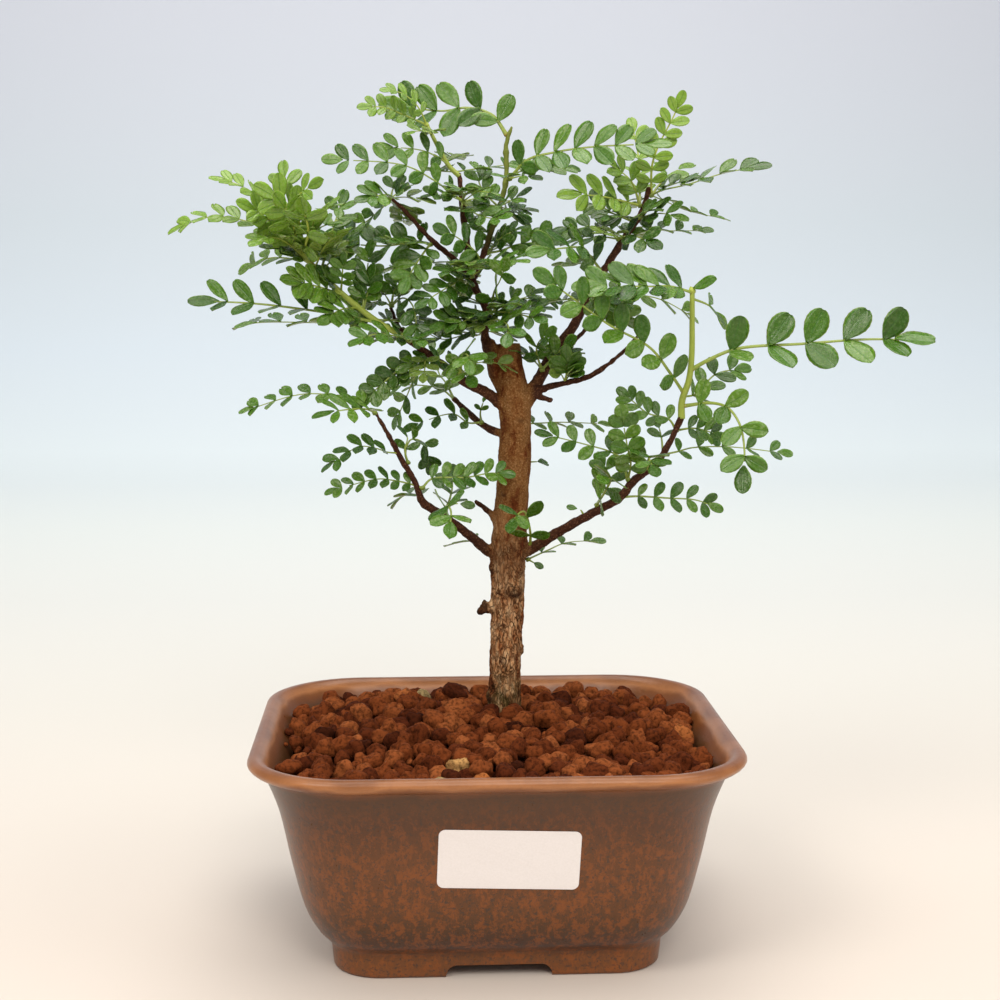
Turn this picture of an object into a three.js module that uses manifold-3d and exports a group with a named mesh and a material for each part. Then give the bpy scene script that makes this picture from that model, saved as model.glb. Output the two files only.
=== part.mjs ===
// A chinese pepper bonsai: a young tree with small compound leaves, standing in the clay
// granules of a glazed stoneware pot. Millimetres, +Z up, +X to the right, +Y away from the viewer.
// The tree was laid out as it is seen from the front: a place on it is [x, z, back], where x and z
// are read on the upright plane through the trunk, and back is how far behind that plane it lies.

import * as THREE from 'three';
import { mergeVertices } from 'three/addons/utils/BufferGeometryUtils.js';
import Module from 'manifold-3d';

const wasm = await Module();
wasm.setup();

// Where the tree was looked at from, the plane through its trunk, and how the tree is turned and
// shifted against the middle of its pot
const EYE = new THREE.Vector3(0.9, -538, 208.4);
const TRUNK_Y = 26;
const VIEW_TURN = THREE.MathUtils.degToRad(-3);
const TREE_SHIFT = new THREE.Vector3(1.5, 0, 0);
const UP = new THREE.Vector3(0, 0, 1);

// Clearance between pieces that touch
const GAP = 0.3;

// Points closer together than this are one point
const SAME_POINT = 1e-4;

// Pot: [height, half width, corner radius]; its depth is less than its width by twice NARROWER
const NARROWER = 9;
const POT_OUTSIDE = [
  [0, 50.9, 15], [7.5, 51.5, 15.5], [9.4, 53.2, 17.5], [11.4, 55.2, 19.5], [15, 57.5, 21.5],
  [20, 59.8, 23], [34, 63.3, 26], [50, 66.6, 28], [57, 68.9, 29], [62, 70.7, 29.5], [64.2, 72, 30],
  [65.2, 74.8, 31], [66.8, 75.7, 31], [68.3, 75.2, 30.5], [69, 74, 30],
];
const POT_INSIDE = [
  [11, 48, 12], [12, 51.2, 14], [17, 55.2, 18], [24, 57.8, 20], [34, 60.3, 22], [50, 63, 24],
  [60, 66.2, 26], [64, 68.8, 27], [67.4, 70.6, 28], [69, 72.2, 29], [70, 72.8, 29],
];
const CORNER_STEPS = 4;
const UNDERSIDE_HEIGHT = 5.6;
const FOOT_THICKNESS = 8.2;
const FOOT_INNER_CORNER = 8;
const CUT_OUT_HEIGHT = 4;
const CUT_OUT_HALF_FRONT = 16.2;
const CUT_OUT_HALF_SIDE = 13;
const CUT_OUT_LENGTH = 120;
const DRAIN_RADIUS = 6;
const DRAIN_LENGTH = 20;
const DRAIN_X = 24;

// Soil: clay granules, a little higher at the trunk than at the wall. They are larger than life,
// as blocks raised from one jittered net whose knots are the gaps between them.
const SOIL_FLOOR = 11;
const SOIL_AT_WALL = 61.2;
const SOIL_HEAP = 4.2;
const HEAP_RADIUS = 62;
const GRANULE_SPACING = 11.6;
const GRANULE_COLUMNS = 13;
const GRANULE_ROWS = 11;
const GRANULE_JITTER = 2.4;
const GRANULE_TOP = [0.54, 0.74];
const GRANULE_RISE = [1.8, 4.6];

// Paper sticker on the front of the pot
const LABEL = { width: 42, height: 19, corner: 2, x: 2.2, z: 41.7, tilt: 0.035, thickness: 0.6 };
const FRONT_FROM = 20;
const FRONT_DEPTH = 60;

// Wood: each limb has its places and its radius from base to tip. The bark swells and sinks by a
// small share of the radius.
const SWELLING = 0.05;
const LIMBS = {
  trunk: {
    points: [[2, 44, 0], [2.2, 62, 0], [2.5, 76, 0], [3, 90, 0], [3.4, 104, 0], [3.6, 114, 0],
      [3.7, 121, 0], [4.3, 129, 0], [5, 140, 0], [5.7, 151, 0], [6, 161, 0], [5.8, 170, 0],
      [4.2, 179, 0], [3.4, 190, 0]],
    radii: [6.1, 5.8, 5.5, 5.5, 5.6, 5.9, 6.4, 5.8, 5.5, 5.5, 5.3, 5.4, 5.1, 4.2],
    sides: 12,
  },
  collar: { points: [[5, 168, 0], [9, 171.5, 1], [12.8, 175, 2]], radii: [4, 3.6, 2.4], sides: 7 },
  knot: { points: [[0, 101.5, 0], [-4, 101, -1], [-6.4, 99.3, -1.5]], radii: [2.4, 1.8, 1], sides: 6 },
  stub_left: {
    points: [[0.5, 128, 0], [-1.8, 133, 0], [-7.5, 137.5, -2]],
    radii: [1.8, 1.1, 0.7],
    sides: 6,
  },
  stub_right: {
    points: [[8, 172.4, -1], [12.5, 172.7, -2], [18, 171.3, -3]],
    radii: [1.6, 1.1, 0.9],
    sides: 5,
  },
  leader: {
    points: [[1.5, 182, 0], [-1.5, 186, 0], [-3.6, 189, 0], [-4, 195, 0], [-3.8, 201.4, 0], [-8, 210.2, 1],
      [-9.2, 218.9, 2], [-10.9, 229.2, 3], [-12.4, 245.4, 4]],
    radii: [2, 1.7, 1.5, 1.4, 1.4, 1.3, 1.2, 1.1, 0.9],
    sides: 6,
  },
  stem_b: {
    points: [[-8, 211, 1], [-5.5, 217, 3], [-1.8, 227.1, 6], [1.6, 237.4, 9], [2.9, 243.6, 10],
      [3.1, 255.5, 12], [4.8, 260.4, 12]],
    radii: [1.1, 1.1, 1, 0.95, 0.9, 0.85, 0.6],
    sides: 6,
  },
  twig_c: {
    points: [[-8.6, 211, 1], [-14, 217.5, -2], [-22.3, 224.6, -5], [-29, 232, -8], [-34.5, 237.5, -10]],
    radii: [1.1, 0.95, 0.85, 0.75, 0.6],
    sides: 6,
  },
  branch_d: {
    points: [[4.7, 168, 0], [1, 170.2, -2], [-3.7, 174, -4], [-9.7, 176.8, -5], [-18.5, 183.3, -7],
      [-24.5, 188, -8], [-30.5, 191.9, -9]],
    radii: [2.4, 2, 1.8, 1.6, 1.4, 1.25, 1.1],
    sides: 6,
  },
  twig_d: {
    points: [[-27, 189.8, -8.5], [-32.4, 195.4, -4], [-35.2, 202, 0]],
    radii: [0.9, 0.8, 0.6],
    sides: 5,
  },
  branch_e: {
    points: [[3, 117.5, 0], [-4, 121.5, -2], [-10.5, 127, -6], [-19, 133.5, -10], [-24.3, 136.6, -11],
      [-28, 145, -13], [-31.6, 151, -14], [-36.4, 160, -16], [-40.5, 167.3, -17]],
    radii: [2.6, 1.9, 1.5, 1.3, 1.35, 1.1, 1, 0.8, 0.6],
    sides: 6,
  },
  twig_f: {
    points: [[4, 159.5, 1], [-3.5, 162.2, 5], [-9, 166.6, 9], [-14.4, 171.8, 13]],
    radii: [1.6, 1.2, 1.1, 0.9],
    sides: 6,
  },
  branch_g: {
    points: [[4, 117, 0], [11, 121.3, -2], [17.5, 125.3, -4], [28, 131.5, -7], [41, 138.8, -10],
      [45.5, 144.4, -11], [52.5, 149.8, -12], [57.5, 157.5, -13], [61.2, 165.6, -14]],
    radii: [2.8, 2.1, 1.8, 1.5, 1.4, 1.4, 1.2, 1.1, 1.2],
    sides: 6,
  },
  branch_h: {
    points: [[10, 172, 1], [13.4, 177.5, 2], [18.2, 186.1, 4], [26.3, 197.8, 6], [29.9, 205.9, 8],
      [35.3, 214.4, 9], [42.3, 225.4, 11], [47.7, 233.5, 12], [49.5, 240.8, 12]],
    radii: [2.6, 2.1, 1.8, 1.6, 1.5, 1.4, 1.2, 1.1, 0.9],
    sides: 6,
  },
  stem_h: { points: [[17, 184, 4], [24.3, 189.7, 10], [33, 199, 20]], radii: [1.2, 0.9, 0.6], sides: 5 },
  twig_i: {
    points: [[10, 173.5, 0], [20.1, 176.5, -3], [29.8, 179, -5], [38.5, 184.6, -7], [47.4, 193.5, -9]],
    radii: [1.4, 1, 0.9, 0.7, 0.5],
    sides: 5,
  },
};

// Leafy pieces. A tuft springs from a bud on a limb near the place "at", and a green shoot has a
// stem of its own, which starts at the tip of a limb. A leaf is [rib, lean, pairs, leaflet length,
// facing, width]: the rib as seen from the front, how far its tip lies behind its base, the pairs
// of leaflets, the degrees by which the blade is turned from lying flat towards the viewer, and,
// where it isn't the common one, the width of a leaflet as a share of its length.
const SHOOTS = {
  left_shoot: {
    stem: [[-29, 191.3, -9], [-39, 196.9, -10], [-49.7, 205.2, -12], [-62.3, 217.3, -14],
      [-67.5, 222.8, -15]],
    radii: [1.1, 0.8],
    leaves: [
      [[[-67.5, 222.8], [-73.5, 233.5], [-84, 242.5], [-93, 243]], -6, 4, 6, 50],
      [[[-66.2, 221.5], [-77, 228.2], [-93, 231.5], [-108, 228]], -2, 5, 7, 45],
      [[[-64.5, 219.6], [-70, 231], [-66, 237.5], [-58, 243]], -18, 3, 5.5, 60],
      [[[-65.2, 220.4], [-68, 235], [-70, 248.6]], 12, 2, 6, 80],
      [[[-59.5, 214.8], [-56, 222.6], [-49.5, 227]], -14, 3, 6, 15],
      [[[-58, 213.4], [-54, 227], [-50, 239]], 14, 3, 6, 60],
      [[[-60.8, 216], [-60, 230], [-52, 236]], -22, 3, 6, 30],
      [[[-62.3, 217.3], [-75, 218], [-84.5, 214]], 13, 3, 6, 40],
      [[[-63.3, 218.4], [-72, 224.5], [-80.5, 222.5]], -18, 2, 6, 20],
      [[[-39, 196.9], [-55, 200], [-80, 203.2], [-100, 204]], -12, 5, 10, 60, 0.45],
      [[[-41, 198], [-55, 197], [-78, 197], [-86, 195.6]], 18, 4, 7, 10],
      [[[-44.6, 201], [-43.6, 208], [-41.5, 223]], 3, 3, 5.5, 70],
      [[[-51.5, 206.7], [-51, 212], [-50.5, 219]], -10, 2, 4.5, 70],
    ],
  },
  tuft_d_twig: {
    on: 'twig_d',
    at: [-35.2, 202],
    leaves: [
      [[[-31, 205], [-27.8, 202.3], [-26, 189.5]], -16, 3, 5.5, 60],
      [[[-34, 207], [-32, 210], [-25, 213.5]], 5, 2, 6, 40],
    ],
  },
  tuft_d_middle: {
    on: 'branch_d',
    at: [-23, 187],
    leaves: [
      [[[-30.3, 183], [-37, 177.8], [-45, 170.5]], -8, 4, 5, 75, 0.75],
      [[[-26.5, 181], [-30.5, 171.6], [-34.6, 162.5]], 14, 3, 5.5, 40],
    ],
  },
  tuft_d_front: {
    on: 'branch_d',
    at: [-13, 179.5],
    leaves: [
      [[[-11.5, 186], [-9.7, 186], [-9, 181]], -24, 2, 6, 75],
    ],
  },
  tuft_d_tip: {
    on: 'branch_d',
    at: [-28.6, 191],
    leaves: [
      [[[-35, 192.8], [-41, 193], [-48, 189.7]], -20, 3, 6, 45],
    ],
  },
  tuft_a_low: {
    on: 'leader',
    at: [-3.8, 200],
    leaves: [
      [[[1, 200.5], [8, 199.5], [15.5, 197.5]], -22, 3, 5.5, 70],
      [[[0, 198], [3.5, 196], [3, 190]], -32, 2, 6.5, 65],
      [[[-1, 207], [1, 211], [3, 217]], -28, 2, 6, 70],
      [[[3, 203.5], [12, 205], [21, 204]], 20, 3, 5, 50],
    ],
  },
  tuft_a_left: {
    on: 'leader',
    at: [-3.9, 194.5],
    leaves: [
      [[[-9, 197.5], [-14, 198], [-21, 195]], -16, 3, 6, 60],
    ],
  },
  tuft_a_middle: {
    on: 'leader',
    at: [-8.2, 212],
    leaves: [
      [[[-12, 211], [-18, 207.5], [-26, 202.5]], -22, 4, 5.5, 60],
      [[[-14.2, 216.5], [-26, 216], [-38.6, 213.4]], 16, 4, 6, 20],
      [[[-3, 215.5], [3, 217], [9.5, 217]], -18, 3, 6, 35],
    ],
  },
  crown_shoot: {
    stem: [[-12.3, 244.5, 4], [-15.5, 247.5, 4], [-18.8, 253, 4], [-22.9, 261, 5]],
    radii: [0.9, 0.6],
    leaves: [
      [[[-22.9, 261], [-31, 264.4], [-36.7, 266.5], [-44.6, 266.7]], -8, 4, 4.5, 60],
      [[[-22.9, 261], [-26, 267], [-31, 271], [-37.2, 272.3]], -10, 3, 4, 40],
      [[[-21.5, 258], [-25, 259], [-29, 258.4]], -10, 1, 4, 40],
      [[[-15.5, 247.5], [-18.4, 250], [-24.6, 252.8], [-39, 254]], -8, 3, 5.5, 60],
      [[[-14, 246], [-6, 247], [7, 248.7]], 22, 3, 5, 40],
    ],
  },
  tuft_a_upper: {
    on: 'leader',
    at: [-11.8, 236],
    leaves: [
      [[[-15.5, 239.5], [-21, 243.4], [-30.4, 248], [-56, 250]], -18, 5, 6, 60],
      [[[-6, 239.5], [0, 238.6]], -16, 1, 5, 30],
    ],
  },
  tuft_c_tip: {
    on: 'twig_c',
    at: [-34.2, 237.3],
    leaves: [
      [[[-37, 238.6], [-45.5, 236.5]], -11, 2, 6, 55],
      [[[-34, 240.5], [-30.5, 244]], 6, 1, 4.6, 60],
    ],
  },
  tuft_c_middle: {
    on: 'twig_c',
    at: [-21, 223.6],
    leaves: [
      [[[-26, 223.4], [-37, 222], [-53, 223]], 14, 4, 7.5, 60],
    ],
  },
  tuft_b_top: {
    on: 'stem_b',
    at: [3, 257.5],
    leaves: [
      [[[0, 262.8], [-9.6, 266.4], [-18, 265.4], [-36.7, 267.8]], 3, 4, 10.5, 60, 0.46],
    ],
  },
  tuft_b_upper: {
    on: 'stem_b',
    at: [3, 243.8],
    leaves: [
      [[[9.8, 249.7], [18.8, 252.2], [30.8, 253.9], [55, 255]], -16, 5, 8.5, 55],
      [[[8, 244.5], [13.8, 243.8]], -8, 1, 5, 50],
    ],
  },
  tuft_b_low: {
    on: 'stem_b',
    at: [1, 235],
    leaves: [
      [[[-3, 233], [-10, 233.5]], 12, 1, 5.5, 50],
      [[[3, 236.5], [8, 236.5]], -10, 1, 5, 60],
      [[[4, 232.5], [10.5, 230.5]], 12, 2, 5, 50],
    ],
  },
  tuft_b_base: {
    on: 'stem_b',
    at: [-4, 220.5],
    leaves: [
      [[[1, 220.4], [6.5, 222.4], [13.4, 223.5], [21, 228]], 8, 4, 7, 50],
      [[[-3, 226], [-9, 231]], 14, 2, 5, 60],
    ],
  },
  tuft_h_low: {
    on: 'branch_h',
    at: [15.2, 181],
    leaves: [
      [[[13, 187], [14, 191], [19, 194.5]], -16, 2, 5.5, 60],
      [[[21, 188], [25, 191.5]], -10, 1, 6, 60],
    ],
  },
  tuft_i: {
    on: 'twig_i',
    at: [22.5, 177],
    leaves: [
      [[[23, 180.5], [22.9, 184], [22.7, 188.5]], -6, 2, 6, 75],
    ],
  },
  tuft_h_behind: {
    on: 'branch_h',
    at: [29.4, 204.5],
    leaves: [
      [[[36, 206], [52.4, 205], [66, 198]], 34, 4, 6, 50],
    ],
  },
  tuft_h_upper: {
    on: 'branch_h',
    at: [34.8, 213.5],
    leaves: [
      [[[28, 221], [21.8, 221.3], [11, 219.5]], -22, 3, 8, 55],
    ],
  },
  tuft_h_high: {
    on: 'branch_h',
    at: [40.8, 223],
    leaves: [
      [[[44, 225.5], [47, 224.5], [53, 222]], -18, 2, 6.5, 65],
      [[[46, 228], [55, 227], [70, 227]], 12, 4, 5, 25],
      [[[36, 228], [29, 228], [20, 225.5]], 12, 3, 6.5, 45],
    ],
  },
  tuft_h_seven: {
    on: 'branch_h',
    at: [44.8, 229.5],
    leaves: [
      [[[50, 232], [54, 232.5], [61.5, 231]], -16, 2, 6, 60],
      [[[38, 232.5], [33, 235], [27, 234]], 4, 2, 6, 50],
    ],
  },
  tuft_h_tip_left: {
    on: 'branch_h',
    at: [47.8, 234.5],
    leaves: [
      [[[41, 236.5], [36.5, 237.6], [31.5, 238.3], [21.2, 238.6]], -14, 3, 8, 60],
      [[[44, 242.5], [40.5, 246], [36, 250]], -3, 2, 6, 55],
      [[[46.5, 243], [46.2, 250], [43.5, 262.5]], 22, 3, 6, 70],
    ],
  },
  tuft_h_tip_right: {
    on: 'branch_h',
    at: [49.2, 238.5],
    leaves: [
      [[[50.5, 247.7], [52.3, 253.7], [57.5, 264], [60.3, 270.8]], -8, 5, 5.5, 80],
      [[[54, 240], [62, 241.8], [74, 245.5], [89, 248.5]], -14, 4, 8, 45],
      [[[54, 243], [57, 245.5], [63.5, 248.5]], 14, 1, 6.5, 45],
      [[[56, 236], [62, 233.5], [75.5, 230.5]], 18, 3, 5, 25],
    ],
  },
  tuft_g_base: {
    on: 'trunk',
    at: [3.7, 118],
    leaves: [
      [[[17, 121], [23, 123.5], [35.5, 124.3]], 12, 2, 5, 20],
      [[[12.5, 116.6], [14.8, 115.5]], -3, 0, 3.4, 60],
    ],
  },
  tuft_g_sprout: {
    on: 'branch_g',
    at: [29, 132],
    leaves: [
      [[[27.8, 134.6], [23.8, 135.4]], 0, 0, 3.2, 60],
    ],
  },
  tuft_g_one: {
    on: 'branch_g',
    at: [34, 135],
    leaves: [
      [[[35.5, 140], [38, 145], [34, 144]], -24, 2, 7, 60],
      [[[37, 143], [36.5, 148], [33, 153]], 12, 2, 6, 50],
    ],
  },
  tuft_g_two: {
    on: 'branch_g',
    at: [42, 139.5],
    leaves: [
      [[[47, 139.2], [57, 138.6], [67, 137.8], [74.5, 134.6]], -8, 4, 5, 60],
    ],
  },
  tuft_g_three: {
    on: 'branch_g',
    at: [45, 144],
    leaves: [
      [[[44.5, 150], [43.3, 156], [41, 168.8]], -12, 4, 5.5, 80, 0.75],
      [[[41, 152], [37.5, 154.2], [29, 156.7], [13.5, 160.5]], 2, 4, 5.5, 60],
    ],
  },
  tuft_g_four: {
    on: 'branch_g',
    at: [50, 147.8],
    leaves: [
      [[[50.5, 152], [51, 151], [53, 146.5]], -22, 2, 6.5, 70],
    ],
  },
  tuft_g_five: {
    on: 'branch_g',
    at: [55, 152.8],
    leaves: [
      [[[60, 154.2], [65, 155.5], [77, 155.8], [97.5, 153.5]], 16, 4, 5, 45],
      [[[54.6, 159], [53, 165]], 14, 1, 5, 60],
    ],
  },
  tuft_g_six: {
    on: 'branch_g',
    at: [59.4, 161],
    leaves: [
      [[[57, 165], [50, 167], [45, 171], [40.5, 174.8]], 8, 4, 5, 60],
      [[[65, 162], [70, 161], [75.5, 158.6]], 2, 3, 4.8, 60],
    ],
  },
  right_shoot: {
    stem: [[61.2, 165.2, -14], [61.3, 171, -14], [63.5, 178, -15], [64.3, 186, -15], [64.3, 198, -15],
      [64.2, 207.5, -15]],
    radii: [1.2, 0.8],
    leaves: [
      [[[61.7, 172.5], [66, 173.5], [72.5, 180], [83, 182]], 16, 3, 6, 60],
      [[[64, 181.3], [70, 184.7], [79, 188.3], [101, 190], [124, 191.5], [141.5, 190.8]],
        -10, 5, 12, 60, 0.7],
      [[[61.5, 169.5], [71, 170.4], [76.5, 168.8], [80.5, 163.5], [82.3, 155], [82, 142]],
        -24, 4, 9, 70, 0.62],
      [[[61.9, 173.5], [57.5, 180], [50.5, 188.7], [36.8, 196.3], [24.9, 204.9], [13.3, 213.2]],
        -20, 5, 9, 60, 0.62],
      [[[64.2, 206.5], [57, 208.8], [50.5, 208.8], [26.5, 209]], -10, 5, 9, 45, 0.44],
      [[[64.2, 205], [69, 203], [71.5, 201], [75.3, 195.5]], 10, 1, 7.5, 50, 0.4],
    ],
  },
  tuft_junction: {
    on: 'branch_g',
    at: [11.5, 121.6],
    leaves: [
      [[[11, 127.5], [9, 134], [6, 132], [5, 127.5]], -24, 2, 6.5, 70],
    ],
  },
  tuft_trunk_small: {
    on: 'trunk',
    at: [5.6, 150.5],
    leaves: [
      [[[13, 150.8], [15.8, 150.2]], 8, 0, 5, 60],
    ],
  },
  tuft_trunk_behind: {
    on: 'trunk',
    at: [6, 163.5],
    leaves: [
      [[[14, 163.7], [22, 164], [37, 163.4]], 28, 3, 5, 40],
    ],
  },
  tuft_f_middle: {
    on: 'twig_f',
    at: [-5, 163.3],
    leaves: [
      [[[-9.5, 163.8], [-14, 166.6], [-18, 166.4], [-30.5, 161.8]], -8, 3, 5, 45],
      [[[-5.6, 167.5], [-4, 172.5]], 6, 1, 2.6, 60],
    ],
  },
  tuft_f_tip: {
    on: 'twig_f',
    at: [-14, 171.5],
    leaves: [
      [[[-19, 175.2], [-28, 176.4], [-36.5, 175.8]], 18, 3, 5, 50],
      [[[-17, 177], [-19.4, 180.5], [-22, 191]], 28, 2, 5, 50],
    ],
  },
  tuft_e_one: {
    on: 'branch_e',
    at: [-18.6, 133.2],
    leaves: [
      [[[-17, 136], [-15.5, 134], [-16, 126]], -32, 2, 7, 75],
      [[[-14.5, 136.6], [-8.5, 136]], -4, 0, 4.4, 60],
      [[[-16, 138], [-15, 143], [-15.5, 149]], 22, 2, 6.5, 60],
    ],
  },
  tuft_e_two: {
    on: 'branch_e',
    at: [-23.5, 136.4],
    leaves: [
      [[[-26.5, 139.6], [-31, 139.4], [-35, 135.8]], 16, 2, 4.5, 20],
    ],
  },
  tuft_e_three: {
    on: 'branch_e',
    at: [-26.4, 141.4],
    leaves: [
      [[[-30, 143.6], [-35, 144.6], [-40, 145], [-57, 140.6]], -6, 5, 5, 70, 0.68],
      [[[-22, 145], [-10, 145.6], [-2, 147], [5, 146.2]], 3, 5, 5, 55],
    ],
  },
  tuft_e_four: {
    on: 'branch_e',
    at: [-30.8, 149.6],
    leaves: [
      [[[-30.6, 154], [-28.7, 158.2], [-24.5, 157], [-22.3, 147.3]], 10, 3, 4.8, 55],
      [[[-30.8, 155], [-30, 159], [-34, 159.9]], 2, 0, 4.5, 20],
    ],
  },
  tuft_e_five: {
    on: 'branch_e',
    at: [-33.4, 154],
    leaves: [
      [[[-36.5, 154], [-40.5, 155.3], [-46, 155.8], [-58, 148.3]], -10, 4, 5.2, 50],
    ],
  },
  tuft_e_tip: {
    on: 'branch_e',
    at: [-40.3, 167],
    leaves: [
      [[[-45, 170], [-50, 172], [-64, 173.4], [-85, 167.5]], -4, 5, 5.2, 65, 0.85],
      [[[-44, 168.4], [-50, 168.2], [-60, 166.5]], -20, 3, 7, 45, 0.4],
    ],
  },
  tuft_e_low: {
    on: 'branch_e',
    at: [-5, 122.3],
    leaves: [
      [[[-9, 124], [-17, 122.6]], 22, 1, 5, 20],
    ],
  },
};

// Leaves: what all blades share. Those with small leaflets carry half as many pairs as the real
// ones, a little larger than life.
const SMALL_PAIRS = 0.5;
const SMALL_LENGTH = 1.12;
const LEAFLET_WIDTH = 0.56;
const LEAFLET_SLANT = THREE.MathUtils.degToRad(60);
const LEAFLET_FOLD = THREE.MathUtils.degToRad(14);
const LEAFLET_DROOP = 0.1;
const LEAFLET_HALF_BASE = 0.5;
const RIB_HALF_WIDTH = 0.45;
const BLADE_HALF_THICKNESS = 0.32;
const BUD_RADIUS = 1.05;

// The rib is bare below its first pair, for this length and within these shares of the rib, and
// the last leaflet reaches past the rib's end
const BARE_STALK = 4.5;
const BARE_SHARE = [0.1, 0.4];
const LAST_LEAFLET = 0.75;

// Leaflets longer than this are drawn with one point more: [share of length, share of width]
const LARGE_LEAFLET = 8.8;
const LARGE_OUTLINE = [[0.4, -0.5], [0.9, -0.34], [0.98, 0.22], [0.5, 0.5]];
const SMALL_OUTLINE = [[0.45, -0.5], [1, -0.05], [0.6, 0.5]];

// A number that looks random but is the same on every run
function seeded(seed) {
  let state = seed;
  return (low, high) => {
    state = (state * 16807) % 2147483647;
    return low + (high - low) * (state / 2147483647);
  };
}

// The place of a point that is seen at x, z and lies "back" behind the trunk's plane
function seen([x, z, back = 0]) {
  const onPlane = new THREE.Vector3(x, TRUNK_Y, z);
  const reach = (TRUNK_Y - EYE.y + back) / (TRUNK_Y - EYE.y);
  return EYE.clone().lerp(onPlane, reach).applyAxisAngle(UP, VIEW_TURN).add(TREE_SHIFT);
}

function geometryOf(triangles) {
  const geometry = new THREE.BufferGeometry().setFromPoints(triangles.flat());
  return mergeVertices(geometry, SAME_POINT);
}

function solid(geometry) {
  geometry.deleteAttribute('normal');
  geometry.deleteAttribute('uv');
  const merged = mergeVertices(geometry, SAME_POINT);
  const vertProperties = Float32Array.from(merged.attributes.position.array);
  const triVerts = Uint32Array.from(merged.index.array);
  return new wasm.Manifold(new wasm.Mesh({ numProp: 3, vertProperties, triVerts }));
}

function joined(solids) {
  return solids.reduce((whole, piece) => whole.add(piece));
}

// Cutting can leave loose scraps: only the largest body stays
function largest(body) {
  return body.decompose().reduce((best, piece) => (piece.volume() > best.volume() ? piece : best));
}

// A closed body through rings of equally many points, listed from one end to the other
function loft(rings) {
  const triangles = [];
  const count = rings[0].length;
  const centre = (ring) => ring.reduce((sum, p) => sum.add(p), new THREE.Vector3()).divideScalar(count);
  const first = centre(rings[0]);
  const last = centre(rings.at(-1));
  for (let i = 0; i < count; i += 1) {
    const next = (i + 1) % count;
    triangles.push([first, rings[0][next], rings[0][i]]);
    triangles.push([last, rings.at(-1)[i], rings.at(-1)[next]]);
    for (let level = 0; level + 1 < rings.length; level += 1) {
      const [low, high] = [rings[level], rings[level + 1]];
      triangles.push([low[i], low[next], high[next]]);
      triangles.push([low[i], high[next], high[i]]);
    }
  }
  return solid(geometryOf(triangles));
}

// Pot, soil and label

function roundedRing([z, halfWidth, corner], grow = 0) {
  const halfX = halfWidth + grow;
  const halfY = halfWidth - NARROWER + grow;
  const ring = [];
  for (let quarter = 0; quarter < 4; quarter += 1) {
    const signX = quarter === 0 || quarter === 3 ? 1 : -1;
    const signY = quarter < 2 ? 1 : -1;
    for (let i = 0; i <= CORNER_STEPS; i += 1) {
      const angle = (quarter + i / CORNER_STEPS) * (Math.PI / 2);
      ring.push(new THREE.Vector3(
        signX * (halfX - corner) + corner * Math.cos(angle),
        signY * (halfY - corner) + corner * Math.sin(angle),
        z,
      ));
    }
  }
  return ring;
}

// The gap between two corner feet, cut straight through both sides
function footCutOut(halfWidth, turn) {
  const outline = new THREE.Shape([
    new THREE.Vector2(-halfWidth, -1),
    new THREE.Vector2(halfWidth, -1),
    new THREE.Vector2(halfWidth, 0.4),
    new THREE.Vector2(halfWidth - 1.6, 2.6),
    new THREE.Vector2(halfWidth - 3.6, CUT_OUT_HEIGHT),
    new THREE.Vector2(3.6 - halfWidth, CUT_OUT_HEIGHT),
    new THREE.Vector2(1.6 - halfWidth, 2.6),
    new THREE.Vector2(-halfWidth, 0.4),
  ]);
  const extrusion = { depth: CUT_OUT_LENGTH, bevelEnabled: false };
  const geometry = new THREE.ExtrudeGeometry(outline, extrusion);
  geometry.translate(0, 0, -CUT_OUT_LENGTH / 2);
  geometry.rotateX(Math.PI / 2);
  geometry.rotateZ(turn);
  return solid(geometry);
}

function drainHole(x) {
  const geometry = new THREE.CylinderGeometry(DRAIN_RADIUS, DRAIN_RADIUS, DRAIN_LENGTH, 12);
  geometry.rotateX(Math.PI / 2);
  geometry.translate(x, 0, DRAIN_LENGTH / 2);
  return solid(geometry);
}

function buildPot() {
  const outside = loft(POT_OUTSIDE.map((level) => roundedRing(level)));
  const inside = loft(POT_INSIDE.map((level) => roundedRing(level)));
  const [, footHalf] = POT_OUTSIDE[0];
  const underside = loft([-1, UNDERSIDE_HEIGHT].map((z) => (
    roundedRing([z, footHalf - FOOT_THICKNESS, FOOT_INNER_CORNER]))));
  const cuts = [
    inside,
    underside,
    footCutOut(CUT_OUT_HALF_FRONT, 0),
    footCutOut(CUT_OUT_HALF_SIDE, Math.PI / 2),
    drainHole(-DRAIN_X),
    drainHole(DRAIN_X),
  ];
  return cuts.reduce((pot, cut) => pot.subtract(cut), outside);
}

function soilLevel(x, y) {
  const away = Math.min(1, Math.hypot(x, y - TRUNK_Y / 2) / HEAP_RADIUS);
  return SOIL_AT_WALL + SOIL_HEAP * (1 - away * away);
}

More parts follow.
